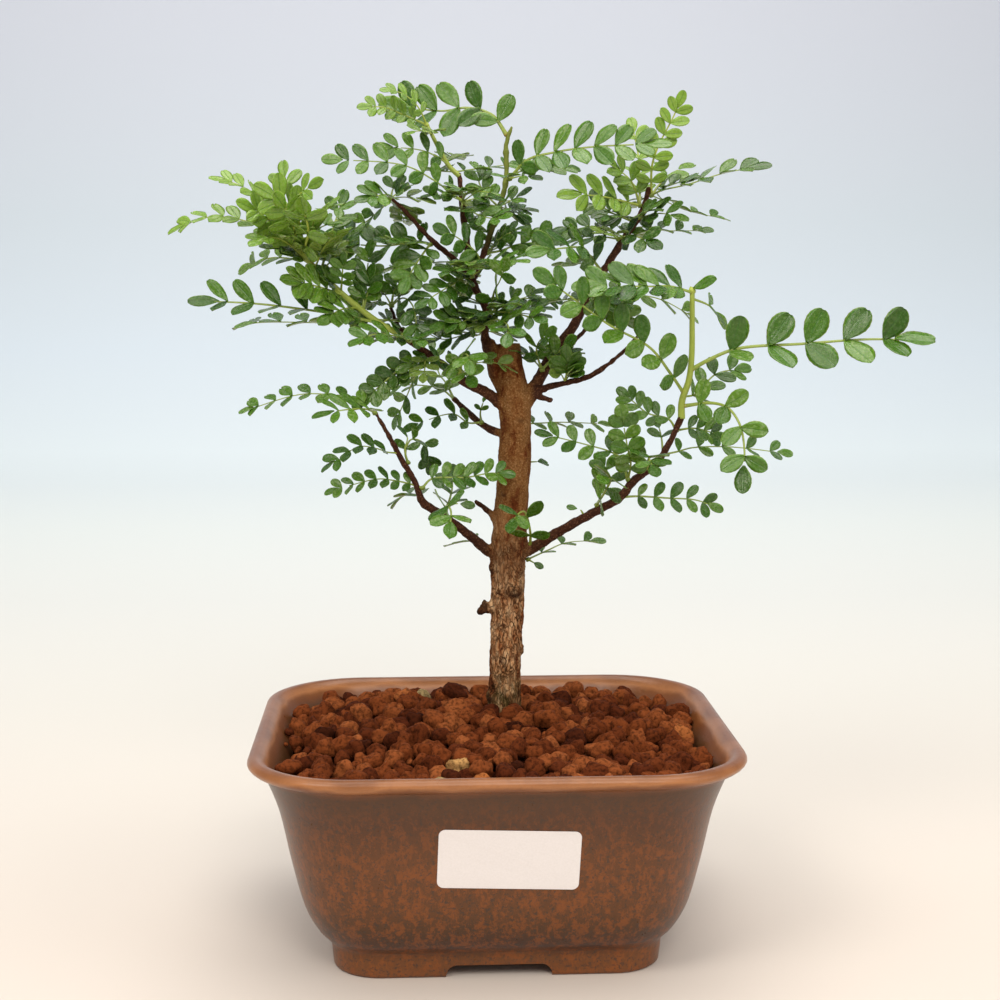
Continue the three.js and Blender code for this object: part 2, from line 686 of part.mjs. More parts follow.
// The net of granules: low knots, and on each mesh of the net a block with a rough sloping top
function granuleNet() {
  const random = seeded(11);
  const knots = [];
  for (let row = 0; row <= GRANULE_ROWS; row += 1) {
    knots.push([]);
    for (let column = 0; column <= GRANULE_COLUMNS; column += 1) {
      const x = (column - GRANULE_COLUMNS / 2) * GRANULE_SPACING;
      const y = (row - GRANULE_ROWS / 2) * GRANULE_SPACING;
      const jitter = () => random(-GRANULE_JITTER, GRANULE_JITTER);
      knots[row].push(new THREE.Vector3(x + jitter(), y + jitter(), soilLevel(x, y)));
    }
  }
  const below = (point) => new THREE.Vector3(point.x, point.y, SOIL_FLOOR - 1);
  const triangles = [];
  const quad = (a, b, c, d) => triangles.push([a, b, c], [a, c, d]);
  for (let row = 0; row < GRANULE_ROWS; row += 1) {
    for (let column = 0; column < GRANULE_COLUMNS; column += 1) {
      const [low, high] = [knots[row], knots[row + 1]];
      const corners = [low[column], low[column + 1], high[column + 1], high[column]];
      const middle = corners.reduce((sum, p) => sum.add(p), new THREE.Vector3()).divideScalar(4);
      const top = corners.map((corner) => {
        const point = middle.clone().lerp(corner, random(...GRANULE_TOP));
        return point.setZ(point.z + random(...GRANULE_RISE));
      });
      quad(...top);
      corners.forEach((corner, i) => quad(corner, corners[(i + 1) % 4], top[(i + 1) % 4], top[i]));
      quad(...corners.map(below).reverse());
    }
  }
  const skirt = (from, to) => quad(below(from), below(to), to, from);
  for (let column = 0; column < GRANULE_COLUMNS; column += 1) {
    skirt(knots[0][column], knots[0][column + 1]);
    skirt(knots[GRANULE_ROWS][column + 1], knots[GRANULE_ROWS][column]);
  }
  for (let row = 0; row < GRANULE_ROWS; row += 1) {
    skirt(knots[row + 1][0], knots[row][0]);
    skirt(knots[row][GRANULE_COLUMNS], knots[row + 1][GRANULE_COLUMNS]);
  }
  return solid(geometryOf(triangles));
}

function buildSoil() {
  const walls = POT_INSIDE.map((level) => roundedRing(level, -GAP));
  walls[0].forEach((point) => point.setZ(SOIL_FLOOR + GAP));
  const filled = loft(walls).intersect(granuleNet());
  return largest(filled.subtract(limbSolid(LIMBS.trunk, GAP)));
}

function buildLabel() {
  const { width, height, corner, x, z, tilt, thickness } = LABEL;
  const [halfWidth, halfHeight] = [width / 2 - corner, height / 2 - corner];
  const outline = new THREE.Shape();
  outline.absarc(halfWidth, halfHeight, corner, 0, Math.PI / 2);
  outline.absarc(-halfWidth, halfHeight, corner, Math.PI / 2, Math.PI);
  outline.absarc(-halfWidth, -halfHeight, corner, Math.PI, 1.5 * Math.PI);
  outline.absarc(halfWidth, -halfHeight, corner, 1.5 * Math.PI, 2 * Math.PI);
  const extrusion = { depth: FRONT_DEPTH, bevelEnabled: false, curveSegments: 3 };
  const geometry = new THREE.ExtrudeGeometry(outline, extrusion);
  geometry.rotateZ(-tilt);
  geometry.rotateX(Math.PI / 2);
  geometry.translate(x, -FRONT_FROM, z);
  const shell = (grow) => loft(POT_OUTSIDE.map((level) => roundedRing(level, grow)));
  return largest(solid(geometry).intersect(shell(GAP + thickness)).subtract(shell(GAP)));
}

// Wood

function limbCurve(limb) {
  return new THREE.CatmullRomCurve3(limb.points.map(seen), false, 'centripetal');
}

function limbRadius(limb, share) {
  const at = share * (limb.radii.length - 1);
  const index = Math.min(Math.floor(at), limb.radii.length - 2);
  return THREE.MathUtils.lerp(limb.radii[index], limb.radii[index + 1], at - index);
}

// Rings of a limb stay square to its curve, and carry the bark's slow swellings
function limbSolid(limb, grow = 0) {
  const curve = limbCurve(limb);
  const count = limb.points.length;
  let across = new THREE.Vector3(1, 0.2, 0.1);
  const rings = limb.points.map((_, index) => {
    const share = index / (count - 1);
    const tangent = curve.getTangent(share);
    const centre = curve.getPoint(share);
    if (index === 0) centre.addScaledVector(tangent, -grow);
    if (index === count - 1) centre.addScaledVector(tangent, grow);
    across = across.clone().addScaledVector(tangent, -across.dot(tangent)).normalize();
    const along = new THREE.Vector3().crossVectors(tangent, across);
    return Array.from({ length: limb.sides }, (_unused, side) => {
      const angle = (side / limb.sides) * 2 * Math.PI;
      const swelling = 1 + SWELLING * Math.sin(3 * angle + 1.7 * index);
      const radius = limbRadius(limb, share) * swelling + grow;
      return centre.clone()
        .addScaledVector(across, radius * Math.cos(angle))
        .addScaledVector(along, radius * Math.sin(angle));
    });
  });
  return loft(rings);
}

// Leaves

// A leaf is one thin blade, cut to the rib between its leaflets and folded up a little along it
function leafSolid(points, [, , realPairs, realLength, facing, width = LEAFLET_WIDTH]) {
  const large = realLength > LARGE_LEAFLET;
  const pairs = large ? realPairs : Math.round(SMALL_PAIRS * realPairs);
  const length = large ? realLength : SMALL_LENGTH * realLength;
  const curve = new THREE.CatmullRomCurve3(points, false, 'centripetal');
  const angle = THREE.MathUtils.degToRad(facing);
  const face = new THREE.Vector3(0, -Math.sin(angle), Math.cos(angle)).applyAxisAngle(UP, VIEW_TURN);
  const total = curve.getLength();
  const bare = THREE.MathUtils.clamp(BARE_STALK / total, ...BARE_SHARE);
  const end = 1 - (LAST_LEAFLET * length) / total;

  // Where the rib turns over, the blade turns over with it and doesn't twist
  let sideBefore = new THREE.Vector3();
  const station = (share) => {
    const tangent = curve.getTangentAt(share);
    const normal = face.clone().addScaledVector(tangent, -face.dot(tangent)).normalize();
    const side = new THREE.Vector3().crossVectors(tangent, normal);
    if (side.dot(sideBefore) < 0) {
      side.negate();
      normal.negate();
    }
    sideBefore = side;
    return { centre: curve.getPointAt(share), tangent, normal, side };
  };
  const sheetPoint = (middle, normal) => ({
    top: middle.clone().addScaledVector(normal, BLADE_HALF_THICKNESS),
    bottom: middle.clone().addScaledVector(normal, -BLADE_HALF_THICKNESS),
  });
  const edge = ({ centre, normal, side }, hand) => (
    sheetPoint(centre.clone().addScaledVector(side, hand * RIB_HALF_WIDTH), normal));
  const leaflet = ({ centre, tangent, normal, side }, hand, slant) => {
    const lifted = side.clone().multiplyScalar(hand * Math.cos(LEAFLET_FOLD))
      .addScaledVector(normal, Math.sin(LEAFLET_FOLD));
    const [sine, cosine] = [Math.sin(slant), Math.cos(slant)];
    const along = tangent.clone().multiplyScalar(cosine).addScaledVector(lifted, sine);
    const across = tangent.clone().multiplyScalar(sine).addScaledVector(lifted, -cosine);
    const upward = new THREE.Vector3().crossVectors(along, across).multiplyScalar(hand).normalize();
    return (large ? LARGE_OUTLINE : SMALL_OUTLINE).map(([out, aside]) => {
      const middle = centre.clone()
        .addScaledVector(along, out * length)
        .addScaledVector(across, aside * width * length)
        .addScaledVector(upward, -LEAFLET_DROOP * length * out * out);
      return sheetPoint(middle, upward);
    });
  };

  const stations = [station(0)];
  const leafletAt = new Map();
  const halfBase = LEAFLET_HALF_BASE / total;
  for (let pair = 0; pair < pairs; pair += 1) {
    const share = bare + ((end - bare) * (pair + 0.25)) / (pairs + 0.25);
    stations.push(station(share - halfBase));
    leafletAt.set(stations.length - 1, station(share));
    stations.push(station(share + halfBase));
  }
  stations.push(station(end));
  const right = stations.map((one) => edge(one, 1));
  const left = stations.map((one) => edge(one, -1));

  const triangles = [];
  const plate = (loop) => {
    for (let i = 1; i + 1 < loop.length; i += 1) {
      triangles.push([loop[0].top, loop[i].top, loop[i + 1].top]);
      triangles.push([loop[0].bottom, loop[i + 1].bottom, loop[i].bottom]);
    }
  };
  const outlineRight = [];
  const outlineLeft = [];
  stations.forEach((one, index) => {
    outlineRight.push(right[index]);
    outlineLeft.unshift(left[index]);
    if (index + 1 === stations.length) return;
    plate([right[index], right[index + 1], left[index + 1], left[index]]);
    if (!leafletAt.has(index)) return;
    const rightPoints = leaflet(leafletAt.get(index), 1, LEAFLET_SLANT);
    const leftPoints = leaflet(leafletAt.get(index), -1, LEAFLET_SLANT).reverse();
    plate([right[index], ...rightPoints, right[index + 1]]);
    plate([left[index + 1], ...leftPoints, left[index]]);
    outlineRight.push(...rightPoints);
    outlineLeft.unshift(...leftPoints);
  });
  const tip = leaflet(stations.at(-1), 1, 0);
  plate([right.at(-1), ...tip, left.at(-1)]);

  const outline = [...outlineRight, ...tip, ...outlineLeft];
  outline.forEach((from, index) => {
    const to = outline[(index + 1) % outline.length];
    triangles.push([from.top, from.bottom, to.bottom]);
    triangles.push([from.top, to.bottom, to.top]);
  });
  return solid(geometryOf(triangles));
}

// The share of a curve that is seen nearest to a place, found among this many steps
const SEARCH_STEPS = 200;
function nearestShare(curveOfSeen, [x, z]) {
  const points = curveOfSeen.getPoints(SEARCH_STEPS);
  const distances = points.map((point) => Math.hypot(point.x - x, point.y - z));
  return distances.indexOf(Math.min(...distances)) / SEARCH_STEPS;
}

function seenCurve(places) {
  const points = places.map(([x, z, back]) => new THREE.Vector3(x, z, back));
  return new THREE.CatmullRomCurve3(points, false, 'centripetal');
}

// The rib's points: from its base at a known depth, leaning back evenly to its tip
function ribPoints(base, baseBack, rib, lean) {
  const step = lean / rib.length;
  return [base, ...rib.map(([x, z], index) => seen([x, z, baseBack + step * (index + 1)]))];
}

// Leaves that share a bud start in its middle. It sits on the tip of the limb, or on its side,
// proud by most of its radius. A single leaf has no bud: its rib comes straight out of the bark.
const TIP_SHARE = 0.97;
const BUD_PROUD = 0.7;
const RIB_START = 0.6;

function buildTuft({ on, at, leaves }) {
  const limb = LIMBS[on];
  const share = nearestShare(seenCurve(limb.points), at);
  const back = seenCurve(limb.points).getPoint(share).z;
  const axis = limbCurve(limb).getPoint(share);
  const tangent = limbCurve(limb).getTangent(share);
  const towards = new THREE.Vector3();
  for (const [rib, lean] of leaves) {
    const next = seen([...rib[0], back + lean / rib.length]);
    towards.add(next.sub(axis).normalize());
  }
  const atTip = share > TIP_SHARE;
  if (!atTip) towards.addScaledVector(tangent, -towards.dot(tangent));
  towards.normalize();
  const radius = limbRadius(limb, share);
  const budOffset = GAP + (atTip ? BUD_RADIUS : radius + BUD_PROUD * BUD_RADIUS);
  const offset = leaves.length === 1 ? RIB_START * radius : budOffset;
  const bud = axis.clone().addScaledVector(towards, offset);
  const blades = leaves.map((leaf) => leafSolid(ribPoints(bud, back, leaf[0], leaf[1]), leaf));
  if (leaves.length === 1) return blades[0];
  const budGeometry = new THREE.OctahedronGeometry(BUD_RADIUS, 0);
  budGeometry.translate(bud.x, bud.y, bud.z);
  return joined([solid(budGeometry), ...blades]);
}

function buildShoot({ stem, radii, leaves }) {
  const curve = seenCurve(stem);
  const limb = { points: stem, radii, sides: 6 };
  const blades = leaves.map((leaf) => {
    const [rib, lean] = leaf;
    const base = curve.getPoint(nearestShare(curve, rib[0]));
    return leafSolid(ribPoints(seen([base.x, base.y, base.z]), base.z, rib.slice(1), lean), leaf);
  });
  return joined([limbSolid(limb), ...blades]);
}

// The parts, each in its own colour

const tree = new THREE.Group();

function addPart(name, body, colour, roughness) {
  const { vertProperties, triVerts } = body.getMesh();
  const geometry = new THREE.BufferGeometry();
  geometry.setAttribute('position', new THREE.BufferAttribute(vertProperties, 3));
  geometry.setIndex(new THREE.BufferAttribute(triVerts, 1));
  geometry.computeVertexNormals();
  const material = new THREE.MeshStandardMaterial({ color: colour, roughness, metalness: 0 });
  const mesh = new THREE.Mesh(geometry, material);
  mesh.name = name;
  tree.add(mesh);
}

addPart('pot', buildPot(), 0x6b442c, 0.4);
addPart('soil', buildSoil(), 0x7a3f22, 0.95);
addPart('label', buildLabel(), 0xf2f0ee, 0.5);
addPart('trunk', joined(Object.values(LIMBS).map((limb) => limbSolid(limb))), 0x6e4a32, 0.85);

const barkWithGap = joined(Object.values(LIMBS).map((limb) => limbSolid(limb, GAP)));
for (const [name, shoot] of Object.entries(SHOOTS)) {
  const leafy = shoot.stem ? buildShoot(shoot) : buildTuft(shoot);
  addPart(name, largest(leafy.subtract(barkWithGap)), 0x4f7f2c, 0.45);
}

// The origin is the middle of the whole, on the surface that it stands on
const box = new THREE.Box3().setFromObject(tree);
tree.position.set(-(box.min.x + box.max.x) / 2, -(box.min.y + box.max.y) / 2, 0);
const model = new THREE.Group();
model.add(tree);

export default model;
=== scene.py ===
# %% [markdown]
# # A chinese pepper bonsai
# A young tree with a sawn trunk and small compound leaves, in the fired clay granules of a
# glazed stoneware pot. The solid model is loaded first, as a fixed frame. It holds every place
# and size, and each cell below dresses one part of it. Blender works in metres, and the tables
# are in millimetres, as a maker measures, so one value turns one into the other.

# %% Load the frame
import math
import random

import bmesh
import bpy
import numpy as np
from mathutils import Euler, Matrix, Vector, kdtree, noise


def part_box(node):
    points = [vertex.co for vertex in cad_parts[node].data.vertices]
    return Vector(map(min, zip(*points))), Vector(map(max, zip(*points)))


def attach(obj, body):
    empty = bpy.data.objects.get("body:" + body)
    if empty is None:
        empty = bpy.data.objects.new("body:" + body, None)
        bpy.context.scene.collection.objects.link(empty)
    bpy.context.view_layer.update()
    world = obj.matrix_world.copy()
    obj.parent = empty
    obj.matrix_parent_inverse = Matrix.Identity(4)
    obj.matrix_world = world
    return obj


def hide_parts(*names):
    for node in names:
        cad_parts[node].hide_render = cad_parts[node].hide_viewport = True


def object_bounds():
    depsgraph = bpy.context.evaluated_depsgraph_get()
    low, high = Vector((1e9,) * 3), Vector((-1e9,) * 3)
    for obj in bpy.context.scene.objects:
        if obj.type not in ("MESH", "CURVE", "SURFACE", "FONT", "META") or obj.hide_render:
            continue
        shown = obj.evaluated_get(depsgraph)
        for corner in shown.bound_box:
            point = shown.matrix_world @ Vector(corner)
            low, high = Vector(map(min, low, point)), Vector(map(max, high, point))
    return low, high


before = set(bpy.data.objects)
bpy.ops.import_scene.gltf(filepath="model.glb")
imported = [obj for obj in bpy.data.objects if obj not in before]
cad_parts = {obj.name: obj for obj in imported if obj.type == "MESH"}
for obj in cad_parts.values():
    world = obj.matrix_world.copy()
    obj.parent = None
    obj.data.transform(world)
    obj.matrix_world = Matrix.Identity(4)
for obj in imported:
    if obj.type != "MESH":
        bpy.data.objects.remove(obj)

MM = 0.001
solid_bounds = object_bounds()
print("solid model:", solid_bounds)

# %% [markdown]
# ## Helpers for materials
# Paint and glaze colours are written as sRGB hex values, as in any colour picker. Shaders work
# with linear light, so one function converts them. A second one adds a shader node with its
# settings and links, which keeps each recipe short. A node given as an input stands for its
# first output in use. Inputs have names or numbers: a Mix node lays colour 7 over colour 6, and
# a MapRange node takes values from between 1 and 2 to between 3 and 4.

# %% Colour and node helpers
def linear(hex_colour):
    """An sRGB hex colour as the linear RGBA that shaders use."""
    channels = [int(hex_colour[i:i + 2], 16) / 255 for i in (1, 3, 5)]
    decode = [c / 12.92 if c <= 0.04045 else ((c + 0.055) / 1.055) ** 2.4 for c in channels]
    return (*decode, 1.0)


def output_of(source):
    """What to link: a node stands for its first output in use, and the rest for itself."""
    if isinstance(source, bpy.types.Node):
        return next(socket for socket in source.outputs if socket.enabled)
    return source


def add_node(material, kind, inputs=None, stops=None, **settings):
    """Add a shader node: settings are its options, inputs are values, colours, sockets or nodes."""
    node = material.node_tree.nodes.new("ShaderNode" + kind)
    for name, value in settings.items():
        setattr(node, name, value)
    for key, value in (inputs or {}).items():
        source = output_of(value)
        if isinstance(source, bpy.types.NodeSocket):
            material.node_tree.links.new(source, node.inputs[key])
        else:
            node.inputs[key].default_value = linear(value) if isinstance(value, str) else value
    if stops:
        ramp = node.color_ramp.elements
        while len(ramp) < len(stops):
            ramp.new(0.5)
        for element, (position, value) in zip(ramp, stops):
            element.position = position
            element.color = linear(value) if isinstance(value, str) else (value, value, value, 1)
    return node


def new_material(name, **sockets):
    """A material whose plain values are set on the shader's own sockets, with _ for a space."""
    material = bpy.data.materials.new(name)
    material.use_nodes = True
    material.node_tree.nodes.clear()
    shader = add_node(material, "BsdfPrincipled")
    for socket, value in sockets.items():
        shader.inputs[socket.replace("_", " ")].default_value = value
    add_node(material, "OutputMaterial", {"Surface": shader})
    return material, shader


def feed(shader, **sources):
    """Link patterns to the shader's sockets, with _ for a space."""
    for socket, source in sources.items():
        shader.id_data.links.new(output_of(source), shader.inputs[socket.replace("_", " ")])


# %% [markdown]
# ## Helpers for shapes
# Everything that grows follows a smooth path through a few measured places, so the same curve
# serves limbs, ribs and the pot's profile. It is the centripetal Catmull-Rom curve, which goes
# through every place and never loops between close ones. Meshes are made from plain arrays.

# %% Paths and meshes
def smooth_path(places, steps):
    """Points on the centripetal curve through the places, with so many steps between each two."""
    p = np.asarray(places, float)
    p = np.vstack([2 * p[0] - p[1], p, 2 * p[-1] - p[-2]])
    share = np.arange(steps)[:, None] / steps
    path = []
    for a, b, c, d in zip(p[:-3], p[1:-2], p[2:-1], p[3:]):
        before, here, after = [max(1e-4, np.linalg.norm(v) ** 0.5) for v in (b - a, c - b, d - c)]
        start = ((b - a) / before - (c - a) / (before + here) + (c - b) / here) * here
        end = ((c - b) / here - (d - b) / (here + after) + (d - c) / after) * here
        cubic = 2 * b - 2 * c + start + end
        square = -3 * b + 3 * c - 2 * start - end
        path.append(b + share * start + share ** 2 * square + share ** 3 * cubic)
    return np.vstack([*path, p[-2]])


def arc_shares(path):
    """How far along the path each of its points lies, as a share of the length, and the length."""
    run = np.concatenate([[0], np.cumsum(np.linalg.norm(np.diff(path, axis=0), axis=1))])
    return run / run[-1], run[-1]


def at_shares(path, shares):
    """Places and directions on a path at shares of its length."""
    along, length = arc_shares(path)

    def pick(share):
        return np.stack([np.interp(share, along, path[:, axis]) for axis in range(3)], axis=-1)

    shares = np.asarray(shares, float)
    step = 0.3 / length
    direction = pick(np.minimum(shares + step, 1)) - pick(np.maximum(shares - step, 0))
    return pick(shares), unit(direction)


def unit(vectors):
    return vectors / np.linalg.norm(vectors, axis=-1, keepdims=True)


def square_to(vectors, direction):
    """The part of each vector that is square to a direction, at length 1."""
    return unit(vectors - np.sum(vectors * direction, axis=-1, keepdims=True) * direction)


def new_piece(name, points_mm, faces, material, smooth=True):
    """A mesh object at the origin, made from points in millimetres."""
    mesh = bpy.data.meshes.new(name)
    mesh.from_pydata(np.asarray(points_mm) * MM, [], faces)
    mesh.polygons.foreach_set("use_smooth", [smooth] * len(mesh.polygons))
    mesh.materials.append(material)
    piece = bpy.data.objects.new(name, mesh)
    bpy.context.scene.collection.objects.link(piece)
    return piece


def set_attribute(piece, name, kind, values):
    """Store one value for each vertex, which the material can read by name."""
    attribute = piece.data.attributes.new(name, kind, "POINT")
    key = "vector" if kind == "FLOAT_VECTOR" else "value"
    attribute.data.foreach_set(key, np.asarray(values, np.float32).ravel())


def apply_modifiers(piece):
    """Replace the mesh by what its modifiers make of it."""
    evaluated = piece.evaluated_get(bpy.context.evaluated_depsgraph_get())
    mesh = bpy.data.meshes.new_from_object(evaluated)
    piece.modifiers.clear()
    piece.data = mesh


def dress(piece, slot, *nodes):
    """The piece stands for CAD nodes and moves with the one body. The slot is not used."""
    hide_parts(*nodes)
    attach(piece, "root")
    triangles = sum(len(face.vertices) - 2 for face in piece.data.polygons)
    print(f"{piece.name}: {len(piece.data.vertices)} points, {triangles} triangles")


# %% [markdown]
# ## Where the tree is seen from
# The tree was measured as it is seen from the front: a place is (x, z, back), read on the
# upright plane through the trunk, and "back" is how far behind that plane it lies. This cell
# turns such a place into a point of the model, whose origin is under the middle of the whole.

# %% From seen places to points
POT_LOW, POT_HIGH = [Vector(corner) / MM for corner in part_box("pot")]
POT_CENTRE = np.array([*((POT_LOW + POT_HIGH) / 2).xy, 0.0])
EYE = np.array([0.9, -538.0, 208.4])  # where the camera stands, before the turn
TRUNK_Y = 26.0
TURN = math.radians(-3)
TURN_MATRIX = np.array([[math.cos(TURN), -math.sin(TURN), 0],
                        [math.sin(TURN), math.cos(TURN), 0],
                        [0, 0, 1]])
TREE_ORIGIN = POT_CENTRE + [1.5, 0, 0]  # the tree stands a little to the right in its pot


def seen(places):
    """Points of the model for rows of (x, z, back)."""
    x, z, back = np.asarray(places, float).T
    on_plane = np.stack([x, np.full_like(x, TRUNK_Y), z], axis=-1)
    reach = (TRUNK_Y - EYE[1] + back) / (TRUNK_Y - EYE[1])
    return (EYE + reach[:, None] * (on_plane - EYE)) @ TURN_MATRIX.T + TREE_ORIGIN


print("pot centre in the model:", POT_CENTRE)

# %% [markdown]
# ## Camera, floor and light
# The camera looks slightly down at the tree, from about half a metre. The floor sweeps up
# behind it without an edge, as in a studio, and its colours are painted light: warm near the tree
# and a pale blue higher up. Large soft lights stand front left, in front, on the right and above,
# and one lights the sweep. With a pale sky they keep shadows faint.

# %% Camera
LENS_MM = 61.2
VIEW_DOWN = math.radians(7.12)
camera = bpy.data.objects.new("camera", bpy.data.cameras.new("camera"))
camera.data.lens = LENS_MM
camera.data.sensor_width = 36
camera.location = (TURN_MATRIX @ EYE + TREE_ORIGIN) * MM
camera.rotation_euler = (math.pi / 2 - VIEW_DOWN, 0, TURN)
bpy.context.scene.collection.objects.link(camera)
bpy.context.scene.camera = camera
bpy.context.scene.view_settings.view_transform = "Standard"

# %% Floor and sweep
def sweep_profile():
    """The floor runs back, then curves up into a wall: rows of (y, z) in metres."""
    bend = [math.radians(a) for a in range(0, 91, 6)]
    back, radius = 1.3, 0.9
    curve = [(back + radius * math.sin(a), radius * (1 - math.cos(a))) for a in bend]
    return [(-2.5, 0.0), (-1.0, 0.0), *curve, (back + radius, 4.0)]


paper, paper_shader = new_material("studio_paper_sweep", Roughness=0.9)
paper_place = add_node(paper, "TexCoord").outputs["Object"]
paper_back = add_node(paper, "SeparateXYZ", {0: paper_place}).outputs["Y"]
paper_share = add_node(paper, "MapRange", {0: paper_back, 1: 0.0, 2: 2.2})
# Painted light: the paper's tone is darker and warmer in front and brighter and bluer up the sweep, as
# light falls on it
paper_painted_light = add_node(paper, "ValToRGB", {0: paper_share}, stops=[
    (0.0, "#d9d1c8"), (0.14, "#d6d5cf"), (0.27, "#d9dcd9"), (0.43, "#e3eae8"), (0.67, "#eef9fc"),
    (0.8, "#e6f2fa"), (0.9, "#dfe9f0"), (1.0, "#e1e4ee")])
feed(paper_shader, Base_Color=paper_painted_light)
rows = [[(x / MM, y / MM, z / MM) for x in (-3.0, 3.0)] for y, z in sweep_profile()]
sweep_faces = [(2 * i, 2 * i + 1, 2 * i + 3, 2 * i + 2) for i in range(len(rows) - 1)]
sweep = new_piece("sweep", [point for row in rows for point in row], sweep_faces, paper)

# %% Lights
def softbox(name, place, size, watts, target=(0, 0, 0.12), colour="#fff6ec"):
    """A square area light that faces the middle of the tree, or another target."""
    light = bpy.data.lights.new(name, "AREA")
    light.size = size
    light.energy = watts
    light.color = linear(colour)[:3]
    lamp = bpy.data.objects.new(name, light)
    lamp.location = place
    aim = Vector(target) - Vector(place)
    lamp.rotation_euler = aim.to_track_quat("-Z", "Y").to_euler()
    bpy.context.scene.collection.objects.link(lamp)


softbox("key", (-0.8, -0.8, 1.2), 0.6, 9)
softbox("front", (0.15, -1.1, 1.0), 0.5, 6.5)
softbox("fill", (1.2, -0.7, 0.7), 0.8, 4)
softbox("top", (0.1, -0.1, 1.5), 1.3, 14)
softbox("backdrop", (0, 0.5, 1.6), 1.4, 12, target=(0, 2.0, 0.4), colour="#ffffff")
sky = bpy.data.worlds.new("sky")
sky.use_nodes = True
background = sky.node_tree.nodes["Background"]
background.inputs["Color"].default_value = linear("#f5f5f7")
background.inputs["Strength"].default_value = 0.38
bpy.context.scene.world = sky

# %% [markdown]
# ## The pot
# The pot is slip-cast or press-moulded stoneware: a rounded rectangle that swells towards a
# rolled rim, on a foot ring with an arch cut into each side. It is one skin of rounded
# rectangles stacked along a profile, up the outside, over the rim and down to the floor inside.
# The arches and the drain holes are then cut out, as the potter cuts them from the raw clay.

# %% Profile of the pot
NARROWER = 9  # the depth is less than the width by twice this
OUTSIDE = [[0.6, 50.8, 15], [4, 51.2, 15.2], [7.5, 51.6, 15.5], [9.4, 53.2, 17.5],
           [11.4, 55.2, 19.5], [15, 57.5, 21.5], [20, 59.7, 23], [34, 63.3, 26], [50, 66.6, 28],
           [57, 68.8, 29], [62, 70.7, 29.5], [64, 71.8, 30], [65, 74.4, 31], [66.8, 75.7, 31],
           [68.3, 75.1, 30.5], [68.95, 73.8, 30]]
INSIDE = [[68.8, 72.4, 29], [67.4, 70.8, 28], [64, 68.8, 27], [60, 66.2, 26], [50, 63, 24],
          [34, 60.3, 22], [24, 57.8, 20], [17, 55.2, 18], [12.6, 51.6, 14], [11.1, 48, 12]]
FOOT_THICKNESS = 8.2
UNDERSIDE_HEIGHT = 5.6
CORNER_STEPS = 12
QUARTERS = [(1, 1), (-1, 1), (-1, -1), (1, -1)]


def rounded_rectangle(level):
    """A ring of points at one level (height, half width, corner radius)."""
    z, half, corner = level
    turns = np.linspace(0, math.pi / 2, CORNER_STEPS + 1)
    ring = []
    for quarter, (sx, sy) in enumerate(QUARTERS):
        angle = turns + quarter * math.pi / 2
        ring.append(np.stack([sx * (half - corner) + corner * np.cos(angle),
                              sy * (half - NARROWER - corner) + corner * np.sin(angle),
                              np.full_like(angle, z)], axis=-1))
    return np.vstack(ring) + POT_CENTRE


def stacked(rings):
    """Points and faces of a closed body through rings, with a flat cap at each end."""
    count = len(rings[0])
    faces = [tuple(reversed(range(count)))]
    for level in range(len(rings) - 1):
        low, high = level * count, (level + 1) * count
        for i in range(count):
            nxt = (i + 1) % count
            faces.append((low + i, low + nxt, high + nxt, high + i))
    faces.append(tuple(range((len(rings) - 1) * count, len(rings) * count)))
    return np.vstack(rings), faces


foot_half = OUTSIDE[0][1]
underside = [[UNDERSIDE_HEIGHT, foot_half - FOOT_THICKNESS - 1, 7],
             [UNDERSIDE_HEIGHT - 0.6, foot_half - FOOT_THICKNESS, 8],
             [0.5, foot_half - FOOT_THICKNESS + 0.2, 8], [0, foot_half - FOOT_THICKNESS + 0.8, 8.6],
             [0, foot_half - 0.7, 14.6]]
levels = underside + list(smooth_path(OUTSIDE, 4)) + list(smooth_path(INSIDE, 4))
pot_points, pot_faces = stacked([rounded_rectangle(level) for level in levels])
print("pot levels:", len(levels), "from", pot_points.min(axis=0), "to", pot_points.max(axis=0))

# %% Glaze
# An iron-rich brown glaze over dark clay, fired satin. It runs thin and coppery on the rim and on
# the foot, and lies thicker and darker below the rim, with rusty flecks where it has run down. The
# front of the rim roll is also painted brighter as a highlight, and a dark band where the body
# curves in to the foot is painted shade.
glaze, glaze_shader = new_material("glazed_stoneware", IOR=1.5, Specular_IOR_Level=0.4)
glaze_place = add_node(glaze, "TexCoord").outputs["Object"]
glaze_height = add_node(glaze, "SeparateXYZ", {0: glaze_place}).outputs["Z"]
height_share = add_node(glaze, "MapRange", {0: glaze_height, 1: 0.0, 2: POT_HIGH.z * MM})
# The edges of its bands waver over about 14 mm
waver = add_node(glaze, "TexNoise", {"Vector": glaze_place, "Scale": 1 / (14 * MM), "Detail": 3.0})
wavered = add_node(glaze, "MapRange", {0: waver, 3: -0.035, 4: 0.035})
level_share = add_node(glaze, "Math", {0: height_share, 1: wavered}, operation="ADD")
# Painted light in the bands: the dark stop at 0.16 is painted shade under the body's swell above the
# foot, and the bright stop at 0.965 is a painted highlight on the outer front of the rim roll, over its
# coppery glaze
bands_with_painted_light = add_node(glaze, "ValToRGB", {0: level_share}, stops=[
    (0.0, "#7a4a27"), (0.1, "#6a4020"), (0.16, "#442819"), (0.26, "#4f331c"), (0.35, "#5f3a1d"),
    (0.6, "#60391b"), (0.78, "#52321c"), (0.9, "#53361f"), (0.925, "#704223"), (0.945, "#7d4b27"),
    (0.965, "#a87045"), (1.0, "#784926")])
